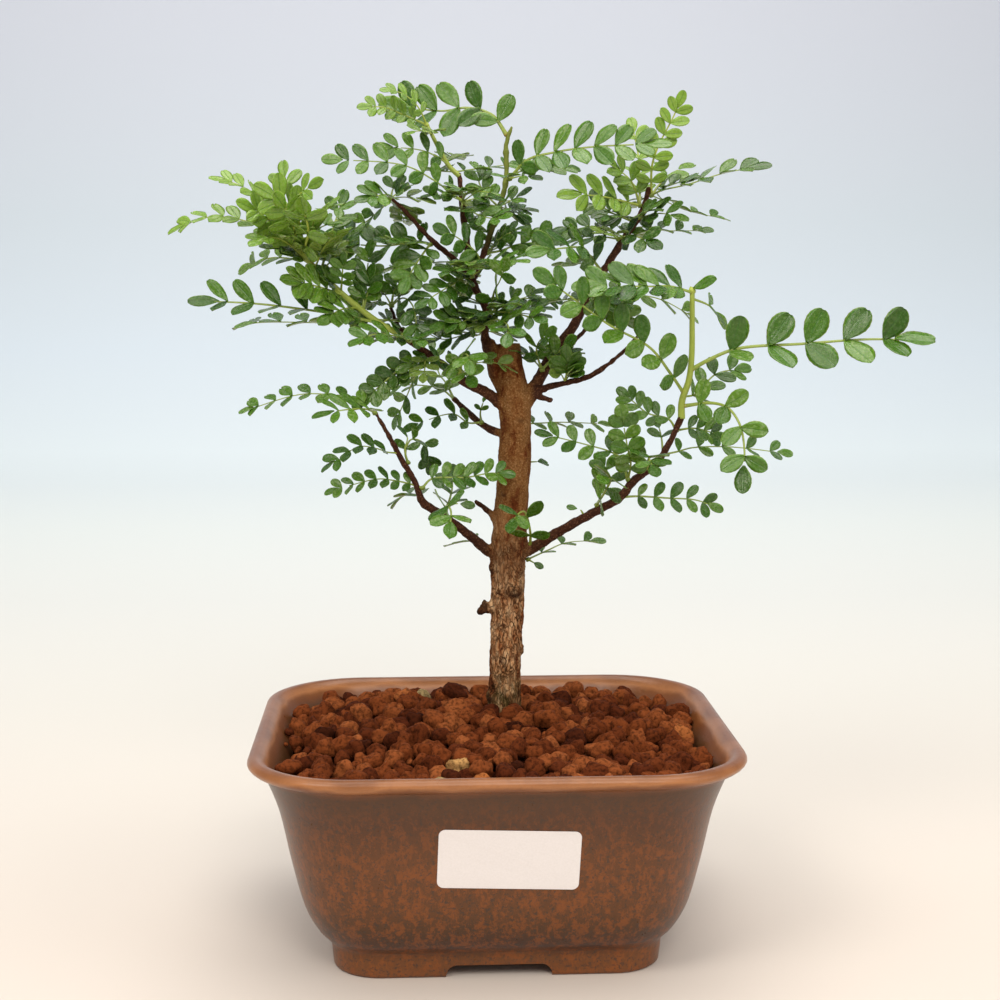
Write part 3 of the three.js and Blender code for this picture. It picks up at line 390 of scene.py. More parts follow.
# Runs of glaze are 2.5 mm wide and about 4 mm high, so the noise is stretched upwards
stretch = add_node(glaze, "Mapping", {"Vector": glaze_place, "Scale": (1.0, 1.0, 0.6)})
runs = add_node(glaze, "TexNoise", {"Vector": stretch, "Scale": 1 / (2.5 * MM), "Detail": 6.0,
                                    "Roughness": 0.8})
rusty = add_node(glaze, "ValToRGB", {0: runs}, stops=[(0.47, 0.0), (0.57, 1.0)])
rust_low = add_node(glaze, "ValToRGB", {0: height_share},
                    stops=[(0.0, 0.5), (0.5, 0.5), (0.75, 0.25), (0.9, 0.05)])
rust_share = add_node(glaze, "Math", {0: rusty, 1: rust_low}, operation="MULTIPLY")
# Dark specks of iron, about a millimetre across
specks = add_node(glaze, "TexNoise", {"Vector": glaze_place, "Scale": 1 / (1.1 * MM),
                                      "Detail": 4.0, "Roughness": 0.7})
dark = add_node(glaze, "ValToRGB", {0: specks}, stops=[(0.54, 0.0), (0.62, 0.85)])
below_rim = add_node(glaze, "ValToRGB", {0: height_share},
                     stops=[(0.0, 0.8), (0.5, 0.8), (0.88, 0.6), (0.93, 0.1)])
dark_share = add_node(glaze, "Math", {0: dark, 1: below_rim}, operation="MULTIPLY")
glaze_colour = bands_with_painted_light
for share, colour in [(rust_share, "#95501b"), (dark_share, "#38312a")]:
    glaze_colour = add_node(glaze, "Mix", {0: share, 6: glaze_colour, 7: colour}, data_type="RGBA")
gloss = add_node(glaze, "MapRange", {0: runs, 3: 0.2, 4: 0.42})
dimple = add_node(glaze, "Bump", {"Height": specks, "Strength": 0.35, "Distance": 0.15 * MM})
feed(glaze_shader, Base_Color=glaze_colour, Roughness=gloss, Normal=dimple)

# %% Mould the pot, and cut its arches and drain holes
ARCH_HALVES = (16.2, 13.0)  # half the width of the arches in front and at the sides
ARCH_SIDE = 0.4
ARCH_CORNER = 3.6
DRAIN_RADIUS = 6.0
DRAIN_SIDES = 32
DRAIN_OFFSET = 24.0
CUTTER_HALF = 60.0


def arch(half_width):
    """The outline of a gap between two feet in X and Z, with rounded upper corners."""
    corner = [(half_width - ARCH_CORNER * (1 - math.cos(a)), ARCH_SIDE + ARCH_CORNER * math.sin(a))
              for a in np.linspace(0, math.pi / 2, 8)]
    right = [(half_width, -1), *corner]
    return right + [(-x, z) for x, z in reversed(right)]


def arch_cutter(half_width, turn):
    """A prism through the whole pot with the outline of an arch, turned about Z."""
    ends = np.array([[(x, y, z) for x, z in arch(half_width)] for y in (-CUTTER_HALF, CUTTER_HALF)])
    cosine, sine = math.cos(turn), math.sin(turn)
    turned = ends @ np.array([[cosine, sine, 0], [-sine, cosine, 0], [0, 0, 1]])
    tool = new_piece("cutter", *stacked(list(turned + POT_CENTRE)), glaze)
    bm = bmesh.new()
    bm.from_mesh(tool.data)
    bmesh.ops.recalc_face_normals(bm, faces=bm.faces)
    bm.to_mesh(tool.data)
    bm.free()
    return tool


pot = new_piece("pot_glazed", pot_points, pot_faces, glaze)
tools = [arch_cutter(half, turn) for half, turn in zip(ARCH_HALVES, (0, math.pi / 2))]
angles = [2 * math.pi * i / DRAIN_SIDES for i in range(DRAIN_SIDES)]
drain = np.array([(DRAIN_RADIUS * math.cos(a), DRAIN_RADIUS * math.sin(a), 0.0) for a in angles])
for side in (-1, 1):
    ring = drain + POT_CENTRE + [DRAIN_OFFSET * side, 0, 0]
    tools.append(new_piece("cutter", *stacked([ring, ring + [0, 0, 20]]), glaze))
for tool in tools:
    cut = pot.modifiers.new("cut", "BOOLEAN")
    cut.operation = "DIFFERENCE"
    cut.solver = "EXACT"
    cut.object = tool
soften = pot.modifiers.new("soften", "BEVEL")
soften.width = 0.35 * MM
soften.segments = 2
soften.limit_method = "ANGLE"
soften.angle_limit = math.radians(50)
apply_modifiers(pot)
for tool in tools:
    bpy.data.objects.remove(tool)
for face in pot.data.polygons:
    face.use_smooth = True
dress(pot, "glazed_stoneware", "pot")

# %% [markdown]
# ## The sticker
# A blank paper label with rounded corners lies on the front. It is a thin sheet laid on the
# glaze, so each of its points takes its depth from the pot's own profile at that height.

# %% Sticker
LABEL_SIZE = (42, 19)
LABEL_CORNER = 2.0
LABEL_PLACE = (2.2, 41.7)
LABEL_TILT = 0.035
LABEL_THICKNESS = 0.25
LABEL_EDGE = 0.06
sticker_paper, sticker_shader = new_material("gloss_coated_paper", Roughness=0.32, IOR=1.5)
# Its fibres are drawn 0.6 mm apart, much coarser than they are
fibre_place = add_node(sticker_paper, "TexCoord").outputs["Object"]
fibre = add_node(sticker_paper, "TexNoise", {"Vector": fibre_place, "Scale": 1 / (0.6 * MM)})
fibre_tone = add_node(sticker_paper, "ValToRGB", {0: fibre}, stops=[(0.2, "#e9e5e4"), (0.8, "#f0ecec")])
feed(sticker_shader, Base_Color=fibre_tone)


def label_ring(inset, lift):
    """The sticker's outline on the glaze, drawn in by an inset and lifted off the surface."""
    middles = (np.array(LABEL_SIZE) / 2 - LABEL_CORNER) * QUARTERS
    outline = []
    for quarter, middle in enumerate(middles):
        angle = np.linspace(0, math.pi / 2, 7) + quarter * math.pi / 2
        bow = (LABEL_CORNER - inset) * np.stack([np.cos(angle), np.sin(angle)], axis=-1)
        side = middles[(quarter + 1) % 4] - middle
        outline += [middle + bow, middle + bow[-1] + np.linspace(0, 1, 8)[1:-1, None] * side]
    cosine, sine = math.cos(LABEL_TILT), math.sin(LABEL_TILT)
    x, z = (np.vstack(outline) @ [[cosine, -sine], [sine, cosine]] + LABEL_PLACE).T
    profile = smooth_path(OUTSIDE, 8)
    depth = np.interp(z, profile[:, 0], profile[:, 1]) - NARROWER
    return np.stack([x, -(depth + lift), z], axis=-1) + POT_CENTRE


label_points, label_faces = stacked([
    label_ring(0, 0.02), label_ring(0, LABEL_THICKNESS - LABEL_EDGE),
    label_ring(LABEL_EDGE, LABEL_THICKNESS)])
sticker = new_piece("sticker", label_points, label_faces, sticker_paper, smooth=False)
dress(sticker, "paper_label", "label")

# %% [markdown]
# ## The clay granules
# The tree stands in fired clay granules of 4 to 9 mm, red-brown and crumbly, each a little
# different. Twelve fine lumps and twelve coarse ones are balls pushed in and out with noise, and
# copies of them are turned, scaled and laid in a jittered net: larger fine ones on top, coarse
# ones below them, where they are hardly seen and are painted dark as the shade between the upper
# ones, and crumbs between them.

# %% Fired clay
# Porous low-fired clay is quite matt: light sinks into its pores. Its colour runs from dark
# umber to brick, and now and then a lump is tan or grey.
clay, clay_shader = new_material("fired_clay_granules", IOR=1.45, Specular_IOR_Level=0.06)
lump_tone = add_node(clay, "Attribute", attribute_name="tone").outputs["Fac"]
clay_place = add_node(clay, "TexCoord").outputs["Object"]
clay_colour = add_node(clay, "ValToRGB", {0: lump_tone}, stops=[
    (0.0, "#2c1309"), (0.25, "#502411"), (0.55, "#763c1d"), (0.85, "#97562f"), (0.94, "#b16c38"),
    (0.97, "#bd935c"), (1.0, "#857c5a")])
# Pores and pits are about a millimetre apart
pores = add_node(clay, "TexNoise", {"Vector": clay_place, "Scale": 1 / (1.3 * MM),
                                    "Detail": 5.0, "Roughness": 0.65})
pore_shade = add_node(clay, "ValToRGB", {0: pores}, stops=[(0.36, 0.35), (0.55, 1.0)])
clay_mix = add_node(clay, "Mix", {0: 1.0, 6: clay_colour, 7: pore_shade},
                    data_type="RGBA", blend_type="MULTIPLY")
clay_rough = add_node(clay, "MapRange", {0: pores, 3: 0.85, 4: 0.98})
clay_bump = add_node(clay, "Bump", {"Height": pores, "Strength": 0.9, "Distance": 0.35 * MM})
feed(clay_shader, Base_Color=clay_mix, Roughness=clay_rough, Normal=clay_bump)

# %% A set of lumps
def make_lump(seed, detail):
    """A ball pushed in and out by noise, about 1 across: its points and triangles."""
    bm = bmesh.new()
    bmesh.ops.create_icosphere(bm, subdivisions=detail, radius=0.5)
    shift = Vector((seed * 7.3, seed * 1.9, seed * 4.1))
    for vert in bm.verts:
        broad = noise.noise(vert.co * 1.9 + shift)
        crumb = noise.voronoi(vert.co * 2.9 + shift)[0][0]
        fine = noise.noise(vert.co * 8.0 + shift)
        vert.co *= 1.12 + 0.5 * broad - 0.32 * crumb + 0.06 * fine
    points = np.array([vert.co for vert in bm.verts])
    faces = np.array([[v.index for v in face.verts] for face in bm.faces])
    bm.free()
    return points, faces


LUMPS = [make_lump(seed, 3) for seed in range(12)]
COARSE_LUMPS = [make_lump(seed, 2) for seed in range(40, 52)]
print("lump triangles:", len(LUMPS[0][1]), len(COARSE_LUMPS[0][1]))

# %% Where the granules lie
SOIL_AT_WALL = 62.6
SOIL_HEAP = 3.6
HEAP_RADIUS = 62
NET_REACH = 40
ROW_SHARE = 0.866  # rows of a six-sided net are closer than their places, by this share
TRUNK_ROOM = 5.6
chance = random.Random(7)
trunk_foot = seen([(2.1, 66, 0)])[0]
pot_inside = smooth_path(INSIDE, 6)[::-1]


def soil_level(x, y):
    """The height of the soil, which is heaped up at the trunk."""
    away = min(1, math.hypot(x, y - TRUNK_Y / 2) / HEAP_RADIUS)
    return SOIL_AT_WALL + SOIL_HEAP * (1 - away * away)


def inside_pot(x, y, z, margin):
    """Whether a lump of this radius fits between the walls at that height."""
    half, corner = [np.interp(z, pot_inside[:, 0], pot_inside[:, k]) for k in (1, 2)]
    dx = max(0, abs(x) - (half - corner))
    dy = max(0, abs(y) - (half - NARROWER - corner))
    return math.hypot(dx, dy) < corner - margin


def lay_granules(spacing, sizes, drop, lumps, scatter=0.3):
    """Lumps on a six-sided net over the soil: a list of (place, size, lump)."""
    laid = []
    for row in range(-NET_REACH, NET_REACH + 1):
        for column in range(-NET_REACH, NET_REACH + 1):
            x = (column + 0.5 * (row % 2)) * spacing + chance.uniform(-1, 1) * scatter * spacing
            y = row * spacing * ROW_SHARE + chance.uniform(-1, 1) * scatter * spacing
            size = chance.uniform(*sizes)
            z = soil_level(x, y) - drop + chance.uniform(-0.2, 0.26) * size
            if not inside_pot(x, y, z, 0.5 * size):
                continue
            place = np.array([x, y, z]) + POT_CENTRE
            if np.linalg.norm((place - trunk_foot)[:2]) < TRUNK_ROOM + 0.42 * size:
                continue
            laid.append((place, size, chance.choice(lumps)))
    return laid


# %% Lay the granules
RARE_SHARE = 0.01  # so many granules in one are tan or grey


def granule_piece(name, laid, painted_shade_factor=1.0):
    """One mesh of turned and scaled copies, each with its own tone."""
    points, faces, tones = [], [], []
    for place, size, (shape, triangles) in laid:
        spin = np.array(Euler([chance.uniform(0, 2 * math.pi) for _ in range(3)]).to_matrix())
        scale = size * np.array([chance.uniform(0.8, 1.2) for _ in range(3)])
        faces.append(triangles)
        points.append((shape * scale) @ spin.T + place)
        rare = chance.random() < RARE_SHARE
        tone = chance.uniform(0.95, 1) if rare else 0.92 * chance.betavariate(2.6, 2.4)
        tones.append(np.full(len(shape), painted_shade_factor * tone))
    starts = np.concatenate([[0], np.cumsum([len(p) for p in points])[:-1]])
    faces = np.vstack([triangles + start for triangles, start in zip(faces, starts)])
    piece = new_piece(name, np.vstack(points), faces.tolist(), clay)
    set_attribute(piece, "tone", "FLOAT", np.concatenate(tones))
    dress(piece, "clay_granules", "soil")


granule_piece("granules_upper", lay_granules(6.9, (5.6, 7.9), 0.0, LUMPS))
# The lower layer's tones are scaled down: painted shade in the gaps between the upper granules
granule_piece("granules_lower", lay_granules(5.8, (4.8, 6.6), 4.2, COARSE_LUMPS), painted_shade_factor=0.2)
granule_piece("crumbs", lay_granules(9.5, (1.6, 3.6), 0.2, COARSE_LUMPS, scatter=0.5))

# %% [markdown]
# Below the two layers no single granule is seen, except a little through the drain holes, so one
# plain body fills the pot up to there.

# %% Fill the pot below the granules
FILL_BOTTOM, FILL_TOP = 11.4, 57
fill_levels = [[max(z, FILL_BOTTOM), half - 0.4, corner]
               for z, half, corner in smooth_path(INSIDE, 3)[::-1] if z < FILL_TOP]
fill_rings = [rounded_rectangle(level) for level in fill_levels]
for share in (0.8, 0.5, 0.2):
    edge = fill_rings[len(fill_levels) - 1] - POT_CENTRE
    fill_rings.append(edge * [share, share, 1] + [0, 0, 1.6 * (1 - share)] + POT_CENTRE)
fill_points, fill_faces = stacked(fill_rings)
fill = new_piece("granules_fill", fill_points, fill_faces, clay)
set_attribute(fill, "tone", "FLOAT", np.full(len(fill_points), 0.25))
dress(fill, "clay_granules", "soil")

# %% [markdown]
# ## The wood
# The trunk and its limbs grew as one. Each limb is a tube along its path, with the places and
# radii of the solid model, and two small forms more: a spur on the knot, and the foot of the
# leader, which runs down beside the sawn top. Remeshing melts the tubes into one skin, so forks
# flow as they do in a real tree. Then noise cuts the fissures of the bark: deep and upright on
# the old trunk, hardly any on young wood.

# %% Places and radii of the limbs
LIMBS = {
  "trunk": {
    "points": [[2, 44, 0], [2.2, 62, 0], [2.5, 76, 0], [3, 90, 0], [3.4, 104, 0], [3.6, 114, 0],
      [3.7, 121, 0], [4.3, 129, 0], [5, 140, 0], [5.7, 151, 0], [6, 161, 0], [5.8, 170, 0],
      [4.2, 179, 0], [3.4, 190, 0]],
    "radii": [6.1, 5.8, 5.5, 5.5, 5.6, 5.9, 6.4, 5.8, 5.5, 5.5, 5.3, 5.4, 5.1, 4.2]},
  "collar": {"points": [[5, 168, 0], [9, 171.5, 1], [12.8, 175, 2]], "radii": [4, 3.6, 2.4]},
  "knot": {"points": [[0, 101.5, 0], [-4, 101, -1], [-6.2, 99.3, -1.5]], "radii": [2.4, 2, 1.1]},
  "knot_spur": {"points": [[-4, 100.5, -1], [-4.4, 104, -1]], "radii": [1, 0.6]},
  "leader_foot": {
    "points": [[3.4, 171, -0.5], [-0.4, 181, -0.5], [-2.6, 191, -0.5]], "radii": [2, 2.8, 1.9]},
  "stub_left": {
    "points": [[0.5, 128, 0], [-1.8, 133, 0], [-7.5, 137.5, -2]],
    "radii": [1.8, 1.1, 0.7]},
  "stub_right": {
    "points": [[8, 172.4, -1], [12.5, 172.7, -2], [18, 171.3, -3]],
    "radii": [1.6, 1.1, 0.9]},
  "leader": {
    "points": [[1.5, 182, 0], [-1.5, 186, 0], [-3.6, 189, 0], [-4, 195, 0], [-3.8, 201.4, 0],
      [-8, 210.2, 1], [-9.2, 218.9, 2], [-10.9, 229.2, 3], [-12.4, 245.4, 4]],
    "radii": [2, 1.7, 1.5, 1.4, 1.4, 1.3, 1.2, 1.1, 0.9]},
  "stem_b": {
    "points": [[-8, 211, 1], [-5.5, 217, 3], [-1.8, 227.1, 6], [1.6, 237.4, 9], [2.9, 243.6, 10],
      [3.1, 255.5, 12], [4.8, 260.4, 12]],
    "radii": [1.1, 1.1, 1, 0.95, 0.9, 0.85, 0.6]},
  "twig_c": {
    "points": [[-8.6, 211, 1], [-14, 217.5, -2], [-22.3, 224.6, -5], [-29, 232, -8], [-34.5, 237.5, -10]],
    "radii": [1.1, 0.95, 0.85, 0.75, 0.6]},
  "branch_d": {
    "points": [[4.7, 168, 0], [1, 170.2, -2], [-3.7, 174, -4], [-9.7, 176.8, -5], [-18.5, 183.3, -7],
      [-24.5, 188, -8], [-30.5, 191.9, -9]],
    "radii": [2.4, 2, 1.8, 1.6, 1.4, 1.25, 1.1]},
  "twig_d": {
    "points": [[-27, 189.8, -8.5], [-32.4, 195.4, -4], [-35.2, 202, 0]],
    "radii": [0.9, 0.8, 0.6]},
  "branch_e": {
    "points": [[3, 117.5, 0], [-4, 121.5, -2], [-10.5, 127, -6], [-19, 133.5, -10], [-24.3, 136.6, -11],
      [-28, 145, -13], [-31.6, 151, -14], [-36.4, 160, -16], [-40.5, 167.3, -17]],
    "radii": [2.6, 1.9, 1.5, 1.3, 1.35, 1.1, 1, 0.8, 0.6]},
  "twig_f": {
    "points": [[4, 159.5, 1], [-3.5, 162.2, 5], [-9, 166.6, 9], [-14.4, 171.8, 13]],
    "radii": [1.6, 1.2, 1.1, 0.9]},
  "branch_g": {
    "points": [[4, 117, 0], [11, 121.3, -2], [17.5, 125.3, -4], [28, 131.5, -7], [41, 138.8, -10],
      [45.5, 144.4, -11], [52.5, 149.8, -12], [57.5, 157.5, -13], [61.2, 165.6, -14]],
    "radii": [2.8, 2.1, 1.8, 1.5, 1.4, 1.4, 1.2, 1.1, 1.2]},
  "branch_h": {
    "points": [[10, 172, 1], [13.4, 177.5, 2], [18.2, 186.1, 4], [26.3, 197.8, 6], [29.9, 205.9, 8],
      [35.3, 214.4, 9], [42.3, 225.4, 11], [47.7, 233.5, 12], [49.5, 240.8, 12]],
    "radii": [2.6, 2.1, 1.8, 1.6, 1.5, 1.4, 1.2, 1.1, 0.9]},
  "stem_h": {"points": [[17, 184, 4], [24.3, 189.7, 10], [33, 199, 20]], "radii": [1.2, 0.9, 0.6]},
  "twig_i": {
    "points": [[10, 173.5, 0], [20.1, 176.5, -3], [29.8, 179, -5], [38.5, 184.6, -7], [47.4, 193.5, -9]],
    "radii": [1.4, 1, 0.9, 0.7, 0.5]},
}

# %% Tubes
def rings_along(path, radii, sides, flat=1.0, facing=None):
    """Rings of points square to a path. Flat below 1 gives ovals, and facing points their side."""
    direction = unit(np.gradient(path, axis=0))
    across = square_to(np.array([1.0, 0.2, 0.1]), direction[0]) if facing is None else None
    angles = np.linspace(0, 2 * math.pi, sides, endpoint=False)
    rings = []
    for index, (centre, tangent, radius) in enumerate(zip(path, direction, radii)):
        across = square_to(across if facing is None else facing[index], tangent)
        along = np.cross(tangent, across)
        rings.append(centre + radius * (np.cos(angles)[:, None] * across
                                        + flat * np.sin(angles)[:, None] * along))
    return rings


def limb_path(points, radii, steps):
    """The path of a limb in the model, and its radius at each point of the path."""
    path = smooth_path(seen(points), steps)
    share = np.linspace(0, 1, len(path))
    return path, np.interp(share, np.linspace(0, 1, len(radii)), radii)


def merged(bodies):
    """One list of points and faces from several."""
    points, faces, start = [], [], 0
    for body_points, body_faces in bodies:
        points.append(body_points)
        faces += [tuple(int(i) + start for i in face) for face in body_faces]
        start += len(body_points)
    return np.vstack(points), faces


paths = {name: limb_path(limb["points"], limb["radii"], 12) for name, limb in LIMBS.items()}
tubes = []
for name, (path, radii) in paths.items():
    sides = 28 if name == "trunk" else 14
    rings = rings_along(path, radii, sides)
    if name != "trunk":
        tip = 0.4 * radii[-1] * unit(path[-1] - path[-2])
        rings.append(rings[-1] * 0.45 + rings[-1].mean(axis=0) * 0.55 + tip)
    tubes.append(stacked(rings))
print("limbs:", len(tubes))

# %% Melt the tubes together
BARK_VOXEL = 0.42
wood_points, wood_faces = merged(tubes)
bark, bark_shader = new_material("bark", IOR=1.45, Specular_IOR_Level=0.12)
wood = new_piece("wood", wood_points, wood_faces, bark)
melt = wood.modifiers.new("melt", "REMESH")
melt.mode = "VOXEL"
melt.voxel_size = BARK_VOXEL * MM
melt.use_smooth_shade = True
relax = wood.modifiers.new("relax", "SMOOTH")
relax.factor = 0.5
relax.iterations = 2
apply_modifiers(wood)
print("melted wood:", len(wood.data.vertices), "points")

# %% [markdown]
# The relief is real shape, so that it shows at the outline too. The nearest point of the limbs'
# paths tells which limb a place is on, how thick it is there and so how old its bark is.

# %% Find the nearest limb
def path_tree(names):
    """A search tree over the points of some paths, with the radius and name of each."""
    found = [(point, radius, name) for name in names for point, radius in zip(*paths[name])]
    tree = kdtree.KDTree(len(found))
    for index, (point, _, _) in enumerate(found):
        tree.insert(point, index)
    tree.balance()
    return tree, found


trunk_tree, trunk_points = path_tree(["trunk"])
limb_tree, limb_points = path_tree([name for name in paths if name != "trunk"])


# %% Bark relief
# Healed wounds on the trunk: (seen place, radius, height), with a dark pit in each
WOUNDS = [((5.9, 107.5, -5.4), 4.4, 1.9), ((8.4, 87, 0.5), 2.8, 1.0), ((-2.6, 115, -2), 2.4, 0.9),
          ((2.2, 140, -5), 1.6, 0.5), ((7.5, 165, -4), 2.2, 0.6), ((1.5, 152, -5), 1.3, 0.5),
          ((-2.4, 71, -2.5), 3.4, 1.2)]
NODE_HEIGHT = 119  # the swollen node, where the two lowest branches leave
ROUGH_HEIGHTS = (134, 122)  # the bark turns rough between these
GREEN_HEIGHTS = (220, 234)  # the stem in the crown turns green between these
wound_places = seen([place for place, _, _ in WOUNDS])


def share_between(value, start, end):
    """0 up to the start, 1 from the end on, and even between them."""
    return min(1.0, max(0.0, (value - start) / (end - start)))


def wound(place):
    """How far the rims of the wounds stand out there, and how dark it is."""
    raised, dark = 0.0, 0.0
    for centre, (_, radius, height) in zip(wound_places, WOUNDS):
        near = np.linalg.norm(place - centre) / radius
        if near < 1:
            pit = max(0.0, 1 - near / 0.3)
            ridges = 0.12 * math.cos(14 * near)
            raised += height * ((1 - near * near) ** 2 - 0.6 * pit + ridges * (1 - near))
            below = min(1.0, max(0.1, 0.55 - 1.3 * (place[2] - centre[2]) / radius))
            dark = max(dark, min(0.9, 1.8 * (1 - near / 0.85)) * below)
    return raised, dark


def relief(place, old):
    """How far bark stands out at a place, in millimetres. Fissures are about 1.5 mm apart."""
    x, y, z = place
    fissure = 1 - abs(noise.noise(Vector((x * 0.75, y * 0.75, z * 0.2)))) * 3.4
    crack = 1 - abs(noise.noise(Vector((x * 0.3, y * 0.3, z * 0.5 + 9)))) * 4
    swells = noise.noise(Vector((x, y, z)) * 0.2)
    grain = noise.noise(Vector((x, y, z * 0.7)) * 1.3)
    at_node = max(0.0, 1 - abs(z - NODE_HEIGHT) / 10)
    rough = 0.35 + 0.65 * share_between(z, *ROUGH_HEIGHTS) + 0.5 * at_node
    cut = max(0.0, fissure) ** 2 * 0.34 + max(0.0, crack) ** 3 * 0.14
    old_relief = 0.4 * swells + 0.5 * at_node * swells - rough * cut + 0.14 * grain
    buds = noise.noise(Vector((x, y, z)) * 0.5)
    return old * old_relief + (1 - old) * (0.16 * swells + 0.3 * buds + 0.07 * grain)


# %% Carve the wood
# Bark is old on the trunk, nearly so on its collar, and up to half as old on thick branches. It
# turns young within 1.8 mm where a branch leaves the trunk
count = len(wood.data.vertices)
places, normals = np.empty(3 * count), np.empty(3 * count)
wood.data.vertices.foreach_get("co", places)
wood.data.vertices.foreach_get("normal", normals)
places, normals = places.reshape(-1, 3) / MM, normals.reshape(-1, 3)
ages, greens, scars, moved = [], [], [], []
for place, normal in zip(places, normals):
    _, index, away = trunk_tree.find(place)
    on_trunk = 1 - (away - trunk_points[index][1] - 0.5) / 1.8
    _, index, _ = limb_tree.find(place)
    _, radius, name = limb_points[index]
    on_thick_limb = 0.45 * (radius - 1.6) / 1.2
    old = min(1.0, max(0.0, on_trunk, on_thick_limb))
    raised, dark = wound(place)
    if name.startswith("knot") and on_trunk < 0.5:
        raised, dark = 0.9 * noise.noise(Vector(place) * 0.8), 0.9
    moved.append((place + normal * (relief(place, old) + raised)) * MM)
    ages.append(max(old, dark))
    greens.append(share_between(place[2], *GREEN_HEIGHTS) if name == "stem_b" else 0.0)
    scars.append(dark)
wood.data.vertices.foreach_set("co", np.ravel(moved))
for name, values in [("old", ages), ("green", greens), ("scar", scars)]:
    set_attribute(wood, name, "FLOAT", values)
    print(name, "bark on", sum(value > 0.5 for value in values), "points")

# %% [markdown]
# ## The bark
# Old bark is matt and corky, tan where it has flaked, darker in its fissures, partly as painted
# shade, and darker at the knots, grey-green with algae near the soil. Young bark is thin, smooth
# and red-brown. So the colour is built up in layers, each with its own share, and the ages stored
# above choose between the two.

# %% Patterns of the bark
bark_place = add_node(bark, "TexCoord").outputs["Object"]
bark_height = add_node(bark, "SeparateXYZ", {0: bark_place}).outputs["Z"]
upright, patch_place = [
    add_node(bark, "Mapping", {"Vector": bark_place, "Scale": (1.0, 1.0, squeeze)})
    for squeeze in (0.4, 0.5)]
# Their widths are in millimetres: upright grain, granular cork, the bends of the cracks,
# stretches of bark that are more or less cracked and green, and patches twice as high as wide
grain, flecks, bend, broad, bark_patches = [
    add_node(bark, "TexNoise", {"Vector": place, "Scale": 1 / (width * MM), "Detail": detail,
                                "Roughness": roughness})
    for place, width, detail, roughness in [
        (upright, 1.5, 6.0, 0.65), (bark_place, 0.6, 4.0, 0.7), (upright, 1.4, 4.0, 0.5),
        (bark_place, 5.0, 2.0, 0.5), (patch_place, 4.0, 5.0, 0.6)]]
# Old bark splits into plates about 1 mm wide and 3 mm high: cracks run between stretched cells
bent = add_node(bark, "VectorMath", {0: bend.outputs["Color"], 1: (2.8 * MM,) * 3, 2: upright},
                operation="MULTIPLY_ADD")
plates = add_node(bark, "TexVoronoi", {"Vector": bent, "Scale": 1 / (1.15 * MM)},
                  feature="DISTANCE_TO_EDGE")
crack = add_node(bark, "ValToRGB", {0: plates}, stops=[(0.02, 1.0), (0.2, 0.0)])

# %% Where each layer of bark lies
crack_depth = add_node(bark, "MapRange", {0: broad, 1: 0.35, 2: 0.65, 3: 0.5, 4: 1.0})
# The cracks are painted dark: partly the darker bark inside them, partly painted shade in cracks too fine
# for the shape
crack_dark_and_shade = add_node(bark, "Math", {0: crack, 1: crack_depth}, operation="MULTIPLY")
# The upper trunk is corky instead of plated, and algae grow up from the soil
high = add_node(bark, "MapRange", {0: bark_height, 1: 112 * MM, 2: 136 * MM})
low = add_node(bark, "MapRange", {0: bark_height, 1: 84 * MM, 2: 66 * MM})
patchy = add_node(bark, "ValToRGB", {0: broad}, stops=[(0.4, 0.45), (0.58, 0.95)])
algae_share = add_node(bark, "Math", {0: low, 1: patchy}, operation="MULTIPLY")
# The swollen node is darker than the rest
node_below = add_node(bark, "MapRange", {0: bark_height, 1: 104 * MM, 2: 114 * MM})
node_above = add_node(bark, "MapRange", {0: bark_height, 1: 132 * MM, 2: 122 * MM, 4: 0.4})
node_share = add_node(bark, "Math", {0: node_below, 1: node_above}, operation="MULTIPLY")
fleck_share = add_node(bark, "ValToRGB", {0: flecks}, stops=[(0.56, 0.0), (0.72, 0.35)])
scar_share, old_share, green_share = [
    add_node(bark, "Attribute", attribute_name=name).outputs["Fac"] for name in ("scar", "old", "green")]

# %% Colours of the bark
plate_tone = add_node(bark, "ValToRGB", {0: grain}, stops=[
    (0.34, "#9f6b45"), (0.48, "#cb9b70"), (0.6, "#dfb88e"), (0.72, "#f0d3ac")])
corky = add_node(bark, "ValToRGB", {0: flecks}, stops=[
    (0.3, "#5f3d23"), (0.45, "#7f5833"), (0.58, "#946b42"), (0.72, "#b18c60")])
bark_patch = add_node(bark, "ValToRGB", {0: bark_patches}, stops=[
    (0.36, "#b08169"), (0.46, "#ecdccb"), (0.56, "#fffdf8")])
young = add_node(bark, "ValToRGB", {0: flecks}, stops=[
    (0.3, "#2b170f"), (0.56, "#4a2b1d"), (0.72, "#8a6449")])
old_bark = plate_tone
for share, layer, blend in [
        (crack_dark_and_shade, "#3d2212", "MIX"), (high, corky, "MIX"), (algae_share, "#3f3f1d", "MIX"),
        (node_share, "#54341f", "MIX"), (fleck_share, "#c2ab86", "MIX"),
        (1.0, bark_patch, "MULTIPLY"), (scar_share, "#402615", "MIX")]:
    old_bark = add_node(bark, "Mix", {0: share, 6: old_bark, 7: layer}, data_type="RGBA",
                        blend_type=blend)
bark_colour = young
for share, layer in [(old_share, old_bark), (green_share, "#75803a")]:
    bark_colour = add_node(bark, "Mix", {0: share, 6: bark_colour, 7: layer}, data_type="RGBA")
bark_rough = add_node(bark, "MapRange", {0: old_share, 3: 0.55, 4: 0.9})
# The cracks are bumps on the lower trunk alone, and the grain is one all over
crack_drop = add_node(bark, "MapRange", {0: high, 3: -1.0, 4: -0.1})
cut_in = add_node(bark, "Math", {0: crack, 1: crack_drop, 2: flecks}, operation="MULTIPLY_ADD")
bark_bump = add_node(bark, "Bump", {"Height": cut_in, "Strength": 0.8, "Distance": 0.45 * MM})
feed(bark_shader, Base_Color=bark_colour, Roughness=bark_rough, Normal=bark_bump)
dress(wood, "bark", "trunk")

